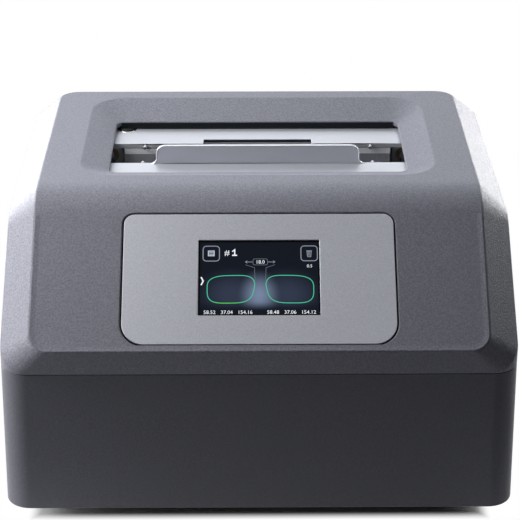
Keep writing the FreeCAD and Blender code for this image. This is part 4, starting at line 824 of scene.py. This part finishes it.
@dataclass
class ScreenPicture(Assembly):
    """What the lit screen shows: two lens outlines, a bridge mark, key symbols and numbers."""

    corner: tuple[float, float] = (-36.9 * MM, 24.2 * MM)
    lift: float = 0.012 * MM
    lens_half: tuple[float, float] = (14.5 * MM, 9.8 * MM)
    lens_power: float = 3.4
    lens_spots: tuple[float, float, float] = (37.7, 18.45, 18.3)
    drawn_in: float = 0.13
    lowered: tuple[float, float] = (0.16, 0.05)
    key_half: float = 5.1 * MM
    key_round: float = 2.1 * MM

    def spot(self, across: float, up: float) -> Array:
        """Plane values of a point in millimetres from the window's lower left corner."""
        return np.array([self.corner[0] + across * MM, self.corner[1] + up * MM])

    def line(self, path: Array, width: float, closed: bool = True) -> bpy.types.Mesh:
        """A drawn line, width in millimetres: a flat bar carried along a path above the glass."""
        profile = block_profile(width * MM / 2.0, self.lift, 2.5 * self.lift)
        return carried("line", path, profile, face_plane(GLASS), closed)

    def strokes(self, width: float, *paths: Sequence[tuple[float, float]],
                closed: bool = False) -> list[bpy.types.Mesh]:
        """Drawn lines of one width through points of the window."""
        return [self.line(np.array([self.spot(*spot) for spot in path]), width, closed)
                for path in paths]

    def lens_outline(self, way: int) -> Array:
        """One lens outline.

        The point at angle a is (half width times signed power of cosine a, half height times
        signed power of sine a); below the middle its inner end is drawn in, and above it the
        outer end is lowered.

        Args:
            way: -1 for the left lens and 1 for the right one.

        Returns:
            Plane values of the closed outline.
        """
        angle, (half_width, half_height) = whole_turn(96), self.lens_half
        across, up = (half * np.sign(part) * np.abs(part) ** (2.0 / self.lens_power)
                      for half, part in ((half_width, np.cos(angle)), (half_height, np.sin(angle))))
        inner = (1.0 + np.cos(angle)) / 2.0
        across = across + inner * self.drawn_in * half_width * np.minimum(up / half_height, 0.3)
        up = (up - (1.0 - inner) * self.lowered[0] * np.maximum(up, 0.0)
              - inner * self.lowered[1] * np.minimum(up, 0.0))
        between, aside, height = self.lens_spots
        middle = self.spot(between + way * aside, height)
        path = columns(middle[0] - way * across, middle[1] + up)
        return path if way < 0 else path[::-1]

    def lettering(self, words: str, size: float, across: float, up: float,
                  align: str = "CENTER") -> bpy.types.Mesh:
        """Numbers set on the glass.

        Args:
            words: the characters.
            size: type size in millimetres.
            across, up: place in the window, in millimetres.
            align: how the words sit on that place.

        Returns:
            The mesh, in place.
        """
        curve = fitted(bpy.data.curves.new("type", "FONT"), body=words, size=size * MM,
                       align_x=align, extrude=0.5 * self.lift, resolution_u=3)
        holder = shown("type", curve)
        bpy.context.view_layer.update()
        graph = bpy.context.evaluated_depsgraph_get()
        mesh = bpy.data.meshes.new_from_object(holder.evaluated_get(graph))
        bpy.data.objects.remove(holder)
        bpy.data.curves.remove(curve)
        origin, first, second = face_plane(GLASS + 1.8 * self.lift)
        flat = self.spot(across, up)
        return moved(mesh, (first, second, np.cross(first, second)),
                     origin + flat[0] * first + flat[1] * second)

    def key(self, across: float, up: float) -> Array:
        """The round-cornered square of a key, from its middle."""
        low, high = self.spot(across, up) - self.key_half, self.spot(across, up) + self.key_half
        return rounded_outline(*low, *high, self.key_round, 7)

    def build(self) -> None:
        """Draws the picture from the back to the front."""
        white, pale, grey, faint = (
            LitLine(name, display(*levels), 0.6, display(*levels)) for name, levels in (
                ("lit_white", (236, 240, 246)), ("lit_pale", (176, 184, 198)),
                ("lit_grey", (128, 136, 150)), ("lit_faint", (92, 100, 116))))
        green = LitLine("lit_green", display(40, 186, 140), 0.6, display(58, 200, 52))
        tag = rounded_outline(*self.spot(33.2, 34.5), *self.spot(42.2, 38.6), 1.0 * MM, 5)
        readings = (("58.52", 6.3), ("37.04", 16.9), ("154.16", 28.2), ("58.48", 45.4),
                    ("37.06", 56.0), ("154.12", 67.3))
        for name, finish, meshes in (
                ("lens_outlines", green, [self.line(self.lens_outline(way), 0.52)
                                          for way in (-1, 1)]),
                ("keys", grey, [self.line(self.key(across, 42.3), 0.55) for across in (7.2, 68.2)]),
                ("card_symbol", pale, [
                    *self.strokes(0.8, [(5.5, 40.9), (8.9, 40.9), (8.9, 44.0), (5.5, 44.0)],
                                  closed=True),
                    *self.strokes(0.5, [(6.1, 42.9), (8.3, 42.9)], [(6.1, 41.9), (8.3, 41.9)])]),
                ("bin_symbol", grey, [
                    *self.strokes(0.45, [(66.9, 43.5), (67.2, 40.0), (69.2, 40.0), (69.5, 43.5)],
                                  closed=True),
                    *self.strokes(0.4, [(66.4, 44.1), (70.0, 44.1)], [(67.8, 43.1), (67.8, 40.7)],
                                  [(68.6, 43.1), (68.6, 40.7)])]),
                ("bridge_arrows", grey, self.strokes(
                    0.36, [(28.6, 36.5), (32.9, 36.5)], [(42.4, 36.5), (46.7, 36.5)],
                    [(29.6, 37.3), (28.5, 36.5), (29.6, 35.7)],
                    [(45.7, 37.3), (46.8, 36.5), (45.7, 35.7)])),
                ("bridge_legs", faint, self.strokes(
                    0.26, [(28.5, 34.6), (34.1, 32.6), (34.5, 23.2)],
                    [(46.8, 34.6), (41.3, 32.6), (40.9, 23.2)])),
                ("bridge_tag", faint, [self.line(tag, 0.3)]),
                ("chevron", white, self.strokes(0.85, [(1.0, 26.3), (2.3, 23.6), (1.0, 20.9)])),
                ("numbers", white, [
                    self.lettering("#", 5.5, 15.4, 41.1, "LEFT"),
                    *self.strokes(0.85, [(20.3, 43.6), (21.8, 44.9), (21.8, 41.1)],
                                  [(20.2, 41.1), (23.3, 41.1)]),
                    self.lettering("18.0", 3.3, 37.7, 35.4), self.lettering("0.5", 2.9, 68.4, 32.7),
                    *(self.lettering(words, 3.4, across, 1.5) for words, across in readings)])):
            self.put(joined("screen_" + name, meshes), "case", finish=finish)


@dataclass
class GapShadeAndPrint(Assembly):
    """A dark bead in the gap round the screen plate, painted shade of the gap, and printed border
    of the touch glass.
    """

    recess: tuple[float, float, float, float] = (-85.0 * MM, 4.7 * MM, 85.0 * MM, 93.6 * MM)
    recess_round: tuple[float, ...] = (14.5 * MM, 14.5 * MM, 7.0 * MM, 7.0 * MM)
    bead: float = 0.48 * MM
    bead_top: float = -0.45 * MM
    window: tuple[float, float, float, float] = (-37.15 * MM, 24.75 * MM, 37.15 * MM, 74.65 * MM)
    window_round: float = 0.5 * MM

    def build(self) -> None:
        """A half-round bead carried along the middle of the gap, and a flat border on the glass."""
        middle = self.bead_top - self.bead
        # The bead's near-black is painted shade: it darkens the gap round the screen plate.
        gap_shade_bead = carried("screen_plate_seal", rounded_outline(*self.recess, self.recess_round, 14),
                       bead_profile(self.bead, GLASS - middle), face_plane(middle))
        self.put(smooth(gap_shade_bead), "case",
                 finish=Moulded("seal_rubber", display(12, 12, 13), 0.85, gloss=0.05))
        border = carried("glass_border", rounded_outline(*self.window, self.window_round, 4),
                         block_profile(0.5 * MM, 0.008 * MM, 0.02 * MM), face_plane(GLASS))
        self.put(border, "case",
                 finish=Moulded("border_print", display(14, 14, 16), 0.3, gloss=0.03))


@dataclass
class FaceBorder(Assembly):
    """Raised border of the sloped face, which catches light on the left and shade on the right."""

    half: float = 141.2 * MM
    top: float = 93.0 * MM
    radius: float = 12.0 * MM
    inset: float = 0.5 * MM

    def build(self) -> None:
        """A low rib, steep outside and gently sloped inside, carried down, round and up."""
        angle, bend, reach = quarter_turn(14), self.radius - self.inset, self.half - self.inset
        across = self.half - self.radius
        path = np.vstack([
            [[-reach, self.top]], arc(angle - math.pi, bend, (-across, self.radius)),
            arc(angle - math.pi / 2.0, bend, (across, self.radius)), [[reach, self.top]]])
        rib = np.array([[0.0, -0.05], [4.2, -0.05], [0.9, 0.24], [0.5, 0.32], [0.2, 0.30],
                        [0.02, 0.2]]) * MM
        mesh = carried("face_border", path, rib, face_plane(), False)
        self.put(smooth(mesh, 40.0), "case", Slot.cover_paint)


@dataclass
class LipEdgeHighlight(Assembly):
    """Near-white bead along the edge of the front jaw's lip: a painted highlight of the lip's edge.
    """

    front: float = 17.0 * MM
    half: float = 68.5 * MM
    base: float = 186.0 * MM
    top: float = 199.3 * MM
    flare: float = 4.0 * MM
    corner: float = 6.0 * MM
    radius: float = 0.36 * MM

    def build(self) -> None:
        """A half-round carried up one flare, round both corners and down the other flare."""
        angle, side = quarter_turn(10), self.half - self.radius
        inner, outer = self.corner - self.radius, self.flare + self.radius
        foot = arc(-angle - math.pi / 2.0, outer, (side + outer, self.base + self.flare))
        head = arc(angle, inner, (side - inner, self.top - self.corner))
        right = np.vstack([foot[1:], head])
        path = np.vstack([right, (right * (-1.0, 1.0))[::-1]])
        upright = (np.array([0.0, self.front, 0.0]), np.array([1.0, 0.0, 0.0]),
                   np.array([0.0, 0.0, 1.0]))
        mesh = carried("lip_bead", path, bead_profile(self.radius, -0.05 * MM), upright, False)
        # The near-white finish paints the highlight that the lip's edge catches.
        self.put(smooth(mesh, 50.0), "front_jaw",
                 finish=SatinPlate("bead_bright", display(250, 250, 252), 0.22, 0.4))


@dataclass
class Strips(Assembly):
    """Rail and facing of the rear grip block, paler as painted light; notch and rim strips dark as
    painted shade.
    """

    def strip(self, name: str, sizes: Sequence[float], ribs: int) -> bpy.types.Mesh:
        """A strip along X whose front is front plus depth times a cosine of the place along it.

        Args:
            name: the mesh's name.
            sizes: half length, front, back, low and high sides and depth of the ribs, in
                millimetres.
            ribs: how many ribs it has.

        Returns:
            The closed mesh.
        """
        half, front, back, low, high, depth = (size * MM for size in sizes)
        across = np.linspace(-half, half, 4 * ribs + 1)
        wave = front + depth * np.cos(math.pi * ribs * (across / half + 1.0))
        return tube(name, np.stack([columns(across, place, level) for place, level in (
            (wave, low), (back, low), (back, high), (wave, high))], axis=1))

    def build(self) -> None:
        """Lays each strip."""
        for name, body, sizes, ribs, finish in (
                # The rail's and the facing's pale colours are painted light, raised against the
                # shade under the rear jaw plate.
                ("grip_rail", "rear_jaw", (92.2, 53.08, 53.62, 178.4, 182.7, 0.0), 1,
                 SatinPlate("rail_satin", display(246, 247, 250), 0.4, 0.0)),
                ("grip_facing", "rear_jaw", (92.2, 53.30, 53.62, 171.9, 178.2, 0.12), 150,
                 Moulded("grip_rubber", display(158, 158, 166), 0.7)),
                # The notch and rim strips are painted shade: dark pieces laid where the notch's
                # back wall and the opening's rear wall fall in shade.
                ("notch_edging", "rear_jaw", (37.3, 61.18, 61.58, 183.7, 185.5, 0.0), 1,
                 Moulded("edging_rubber", display(34, 33, 38), 0.8, gloss=0.1)),
                ("opening_brush_strip", "case", (97.5, 80.85, 81.70, 186.6, 190.7, 0.18), 260,
                 Moulded("brush_black", display(40, 43, 47), 0.9, gloss=0.1))):
            self.put(self.strip(name, sizes, ribs), body, finish=finish)


@dataclass
class Fasteners(Assembly):
    """Socket screws: a turned head with a hexagon socket."""

    sides: int = 36
    socket: float = 0.46
    panel: float = 137.82
    under: float = 12.0
    top: float = 82.0

    def head(self, radius: float, height: float) -> bpy.types.Mesh:
        """A round head with a hexagon socket.

        Ring by ring, from the seat over the top and down into the socket, the point at angle a is
        the ring's radius times cosine and sine of a; the socket's rings are drawn to a hexagon by
        dividing by the cosine of the angle to the nearest flat.

        Args:
            radius: head radius.
            height: head height.

        Returns:
            The mesh, with its seat on the origin's plane.
        """
        sixth, socket = math.pi / 3.0, self.socket
        hexagon = 1.0 / np.cos((whole_turn(self.sides) + sixth / 2.0) % sixth - sixth / 2.0)
        rings = np.array([
            (0.97, 0.0, 0), (1.0, 0.12, 0), (1.0, 0.72, 0), (0.93, 0.90, 0), (0.80, 1.0, 0),
            (1.10 * socket, 1.0, 1), (socket, 0.94, 1), (socket, 0.30, 1),
            (0.35 * socket, 0.18, 1)])
        radii = radius * rings[:, :1] * np.where(rings[:, 2:] == 1, hexagon, 1.0)
        return smooth(lathe("head", radii, height * rings[:, 1], self.sides))

    def row(self, name: str, body: str, way: Turned, size: tuple[float, float],
            spots: Sequence[tuple[float, float, float]]) -> None:
        """A set of equal screws: head radius and height, and the seats, in millimetres."""
        heads = [moved(self.head(size[0] * MM, size[1] * MM), way.value, np.array(spot) * MM)
                 for spot in spots]
        self.put(smooth(joined(name, heads)), body, Slot.pin_steel)

    def build(self) -> None:
        """Screws of the rear panel, the base and the carriage."""
        self.row("panel_screws", "case", Turned.REAR, (2.6, 1.6),
                 [(x, self.panel, z) for x in (25.0, 94.0, 55.0, 128.5) for z in (28.5, 66.5)])
        self.row("base_screws", "case", Turned.DOWN, (3.4, 2.0),
                 [(x, y, self.under) for x in (-128.0, 128.0) for y in (-48.0, 10.0, 68.0)]
                 + [(x, y, self.under) for x in (-52.0, 52.0) for y in (-112.0, 116.0)])
        self.row("carriage_screws", "carriage", Turned.UP, (2.6, 2.0),
                 [(x, y, self.top) for x in (-54.0, 54.0) for y in (-2.0, 74.0)])


@dataclass
class LeadScrew(Assembly):
    """The lead screw with its four-start thread."""

    start: float = -116.0 * MM
    end: float = 120.0 * MM
    middle: tuple[float, float] = (56.0 * MM, 64.0 * MM)
    crest: float = 4.0 * MM
    depth: float = 0.7 * MM
    lead: float = 8.0 * MM
    starts: int = 4
    plain_end: float = 8.0 * MM
    root: float = 0.14
    flank: float = 0.18
    sides: int = 40
    steps: int = 700

    def build(self) -> None:
        """Threads cut into a rod.

        At angle a and place x the radius is the crest less the depth times a wave with flat tops
        and slanted sides, whose phase is starts times a turn plus x over the pitch; it fades at
        both ends, which are chamfered.
        """
        angle = whole_turn(self.sides)
        place = np.linspace(self.start, self.end, self.steps)[:, None]
        phase = self.starts * angle / (2.0 * math.pi) - self.starts * place / self.lead
        wave = np.clip((np.abs(phase % 1.0 - 0.5) - self.root) / self.flank, 0.0, 1.0)
        nearer = np.minimum(place - self.start, self.end - place)
        fade = np.clip(nearer / self.plain_end - 1.0, 0.0, 1.0)
        radius = self.crest - self.depth * wave * fade
        radius = np.where(nearer <= 0.0, 0.9 * self.crest, radius)
        mesh = tube("lead_screw_thread", columns(place, self.middle[0] + radius * np.cos(angle),
                                                 self.middle[1] + radius * np.sin(angle)))
        self.put(smooth(mesh, 50.0), "lead_screw", Slot.ground_steel, stands_for=["lead_screw"])


@dataclass
class BoardParts(Assembly):
    """Small parts on the main board: capacitors, chip legs and header pins."""

    top: float = 21.1 * MM
    middle: float = 36.0 * MM
    length: float = 150.0 * MM
    depth: float = 104.0 * MM
    can: tuple[float, float] = (4.0 * MM, 10.0 * MM)
    leg_pitch: float = 1.1 * MM
    pin_pitch: float = 2.54 * MM
    pins: int = 20

    def bricks(self, name: str, spots: Array, size: Sequence[float], slot: Slot) -> None:
        """Many equal blocks: each corner is the spot plus half the size with the corner's signs.

        Args:
            name: the piece's name.
            spots: the middle of each block.
            size: the blocks' sides in millimetres.
            slot: the slot whose finish they take.
        """
        signs = np.array([[x, y, z] for z in (-1, 1)
                          for x, y in ((-1, -1), (1, -1), (1, 1), (-1, 1))])
        points = spots[:, None, :] + signs[None, :, :] * np.array(size) * MM / 2.0
        sides = np.array([[3, 2, 1, 0], [4, 5, 6, 7], [0, 1, 5, 4], [1, 2, 6, 5], [2, 3, 7, 6],
                          [3, 0, 4, 7]])
        faces = (np.arange(len(spots))[:, None, None] * 8 + sides[None]).reshape(-1, 4)
        self.put(mesh_of(name, points.reshape(-1, 3), faces.tolist()), "case", slot)

    def legs(self, across: float, along: float, share: float) -> Iterator[Array]:
        """Middles of the legs on the four sides of a chip, from its place and its share in size."""
        half, count = 9.0 * MM * share + 0.6 * MM, int(14 * share)
        beside = (np.arange(count) - (count - 1) / 2.0) * self.leg_pitch
        middle = (across * self.length, self.middle + along * self.depth, self.top + 0.35 * MM)
        for way in (-half, half):
            yield middle + columns(way, beside, 0.0)
            yield middle + columns(beside, way, 0.0)

    def build(self) -> None:
        """Cans with a groove and a domed top, legs beside each chip and a row of header pins."""
        radius, height = self.can
        radii = np.array((0.9, 1.0, 1.0, 0.94, 1.0, 1.0, 0.92, 0.80)) * radius
        levels = np.array((0.0, 0.03, 0.10, 0.14, 0.18, 0.94, 1.0, 1.0)) * height
        cans = [moved(lathe("can", radii, levels, 28), Turned.UP.value,
                      (across * MM, self.middle + along * MM, self.top))
                for across, along in ((-58, 24), (-58, 36), (-46, 24), (-46, 36), (52, -34),
                                      (62, -34))]
        self.put(smooth(joined("board_capacitors", cans)), "case",
                 finish=WorkedMetal("can_aluminium", (0.62, 0.63, 0.65), 0.32))
        legs = [side for chip in ((-0.25, -0.2, 1.0), (0.05, 0.15, 0.7), (0.3, -0.25, 0.55),
                                  (0.28, 0.2, 0.5)) for side in self.legs(*chip)]
        self.bricks("chip_legs", np.vstack(legs), (0.7, 0.7, 0.7), Slot.pin_steel)
        across = np.tile((np.arange(self.pins) - 9.5) * self.pin_pitch, 2)
        along = np.repeat([self.middle + 44.0 * MM, self.middle + 46.54 * MM], self.pins)
        self.bricks("header_pins", columns(across, along, self.top + 4.2 * MM),
                    (0.64, 0.64, 8.4), Slot.pin_steel)
        self.bricks("header_base", columns(across, along, self.top + 1.25 * MM),
                    (2.5, 2.5, 2.5), Slot.motor_black)


@dataclass
class RockerMarks(Assembly):
    """The ring and the bar printed on the two halves of the rocker."""

    hinge: tuple[float, float, float] = (74.0 * MM, 134.82 * MM, 46.0 * MM)
    tilt: float = math.radians(10.0)
    rise: float = 9.5 * MM
    front: float = 6.0 * MM
    valley: float = 3.4 * MM
    reach: float = 4.75 * MM
    mark: float = 1.6 * MM

    def plane(self, way: int) -> Plane:
        """Plane of one half of the rocker's hollow face; way is 1 for the upper half."""
        lean = math.atan2(self.front - self.valley, self.rise)
        swing = ((1.0, 0.0, 0.0), (0.0, math.cos(self.tilt), math.sin(self.tilt)),
                 (0.0, -math.sin(self.tilt), math.cos(self.tilt)))
        out = self.valley + (self.front - self.valley) * self.reach / self.rise
        middle = np.array([0.0, out, way * self.reach])
        second = np.array([0.0, math.sin(lean) * way, math.cos(lean)])
        return self.hinge + middle @ swing, np.array([-1.0, 0.0, 0.0]), second @ swing

    def build(self) -> None:
        """A bar on one half and a ring on the other, a hair above the plastic."""
        profile = block_profile(0.28 * MM, -0.02 * MM, 0.04 * MM)
        ink = Moulded("printed_white", display(214, 214, 210), 0.5)
        bar = np.array([[0.0, -self.mark], [0.0, self.mark]])
        for name, path, way in (("rocker_ring", arc(whole_turn(28), self.mark), -1),
                                ("rocker_bar", bar, 1)):
            self.put(carried(name, path, profile, self.plane(way), way < 0), "power_switch",
                     finish=ink)


# ---- Studio ----


@dataclass(frozen=True)
class Lamp:
    """A soft lamp with its place, its size and its power in watts."""

    name: str
    place: tuple[float, float, float]
    size: tuple[float, float]
    power: float
    colour: Colour = (1.0, 1.0, 1.0)
    target: tuple[float, float, float] = (0.0, 0.0, 0.12)

    def hang(self) -> None:
        """Makes the lamp and turns it to its target."""
        light = fitted(bpy.data.lights.new(self.name, "AREA"), shape="RECTANGLE",
                       size=self.size[0], size_y=self.size[1], energy=self.power,
                       color=self.colour)
        back = np.subtract(self.place, self.target)
        back /= np.linalg.norm(back)
        side = np.cross((0.0, 0.0, 1.0), back)
        side /= np.linalg.norm(side)
        turned = Matrix(columns(side, np.cross(back, side), back)).to_euler()
        fitted(shown(self.name, light), location=self.place, rotation_euler=turned)


@dataclass
class Studio:
    """Pale floor, soft lamps, a white surround and the camera."""

    lamps: tuple[Lamp, ...] = (
        Lamp("lamp_rear", (0.0, 1.3, 1.45), (1.7, 0.8), 19.0, (0.92, 0.96, 1.0)),
        Lamp("lamp_over_left", (-0.5, 0.0, 0.9), (0.5, 0.6), 3.2),
        Lamp("lamp_near_left", (-0.45, -0.15, 0.55), (0.3, 0.3), 1.6),
        Lamp("lamp_left_low", (-0.8, -0.1, 0.2), (0.5, 0.3), 4.8),
        Lamp("lamp_left_rear", (-0.8, 0.8, 0.35), (0.5, 0.4), 14.0),
        Lamp("lamp_right_rear_middle", (0.75, 0.95, 0.25), (0.3, 0.3), 8.6),
        Lamp("lamp_right_rear_high", (0.9, 0.7, 0.38), (0.25, 0.3), 3.4),
    )
    surround: float = 0.012
    floor_half: float = 4.0
    foot: tuple[float, float] = (0.140, 0.1240)
    fade: float = 0.010
    card_edge: tuple[float, float] = (0.03, 0.10)
    card: Colour = (0.86, 0.86, 0.87)
    table: Colour = (0.16, 0.16, 0.17)
    turn: float = math.radians(-0.4)
    down: float = math.radians(25.58)
    pivot: tuple[float, float, float] = (0.0, -0.144, 0.1287)
    back: float = 0.942
    rise: float = 0.513
    lens: float = 122.12
    sensor: float = 36.0
    shift: float = 0.5 / 520.0

    def seen(self, bench: Bench) -> Wire:
        """1 for rays that show the white background: camera rays, off gloss and through glass."""
        camera, gloss, through = (bench.make("ShaderNodeLightPath", out=name) for name in (
            "Is Camera Ray", "Is Glossy Ray", "Is Transmission Ray"))
        return camera.most(gloss).most(through)

    def dress_floor(self, bench: Bench) -> None:
        """White to the camera round the foot; to other rays matt, pale near it and grey beyond."""
        place = bench.place()
        across, along, _ = bench.split(place)
        outside = (across.size() - self.foot[0]).most(along.size() - self.foot[1])
        ground = bench.blend(bench.rise(outside, *self.card_edge), self.card, self.table)
        matt = bench.make("ShaderNodeBsdfDiffuse", inputs={
            "Color": bench.tint(ground, bench.noise(place, 60.0, 2.0) * 0.04 + 0.98)})
        glow = bench.make("ShaderNodeEmission", inputs={"Color": (1.0, 1.0, 1.0), "Strength": 1.0})
        share = self.seen(bench) * bench.rise(outside, 0.0, self.fade)
        bench.end(bench.make("ShaderNodeMixShader", inputs={0: share, 1: matt, 2: glow}))

    def build(self) -> None:
        """Makes the floor, the world, the lamps and the camera."""
        square = np.array([[-1, -1, 0], [1, -1, 0], [1, 1, 0], [-1, 1, 0]]) * self.floor_half
        floor = mesh_of("floor", square, [[0, 1, 2, 3]])
        ground = shown("floor", floor)
        paper = fitted(bpy.data.materials.new("finish_floor_paper"), use_nodes=True)
        self.dress_floor(Bench(paper.node_tree))
        floor.materials.append(paper)
        ground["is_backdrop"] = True
        world = fitted(bpy.data.worlds.new("surround"), use_nodes=True)
        bpy.context.scene.world = world
        bench = Bench(world.node_tree)
        bench.end(bench.make("ShaderNodeBackground", inputs={
            "Color": (0.97, 0.98, 1.0),
            "Strength": self.seen(bench) * (1.0 - self.surround) + self.surround}),
            "ShaderNodeOutputWorld")
        for lamp in self.lamps:
            lamp.hang()
        self.set_camera()
        bpy.context.scene.view_settings.view_transform = "Standard"

    def set_camera(self) -> None:
        """Puts the camera where the picture was taken from."""
        camera = fitted(bpy.data.cameras.new("camera"), lens=self.lens, sensor_width=self.sensor,
                        shift_x=self.shift, clip_start=0.05, clip_end=20.0)
        away = (self.back * math.sin(self.turn), -self.back * math.cos(self.turn), self.rise)
        bpy.context.scene.camera = fitted(
            shown("camera", camera), location=np.add(self.pivot, away),
            rotation_euler=(math.pi / 2.0 - self.down, 0.0, self.turn))


def corners() -> list[list[float]]:
    """Lowest and highest corner of what is shown, as plain lists."""
    return [[float(part) for part in corner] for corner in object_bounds()]


def main() -> None:
    """Builds the looks in order."""
    logging.basicConfig(level=logging.INFO, format="%(name)s %(message)s")
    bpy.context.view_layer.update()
    Studio().build()
    groups: tuple[Assembly, ...] = (
        EasedSolids(), ScreenPicture(), GapShadeAndPrint(), FaceBorder(), LipEdgeHighlight(), Strips(), Fasteners(),
        LeadScrew(), BoardParts(), RockerMarks())
    for group in groups:
        group.build()
        LOG.info("%s: %d pieces", type(group).__name__, group.count)


if __name__ == "__main__":
    main()
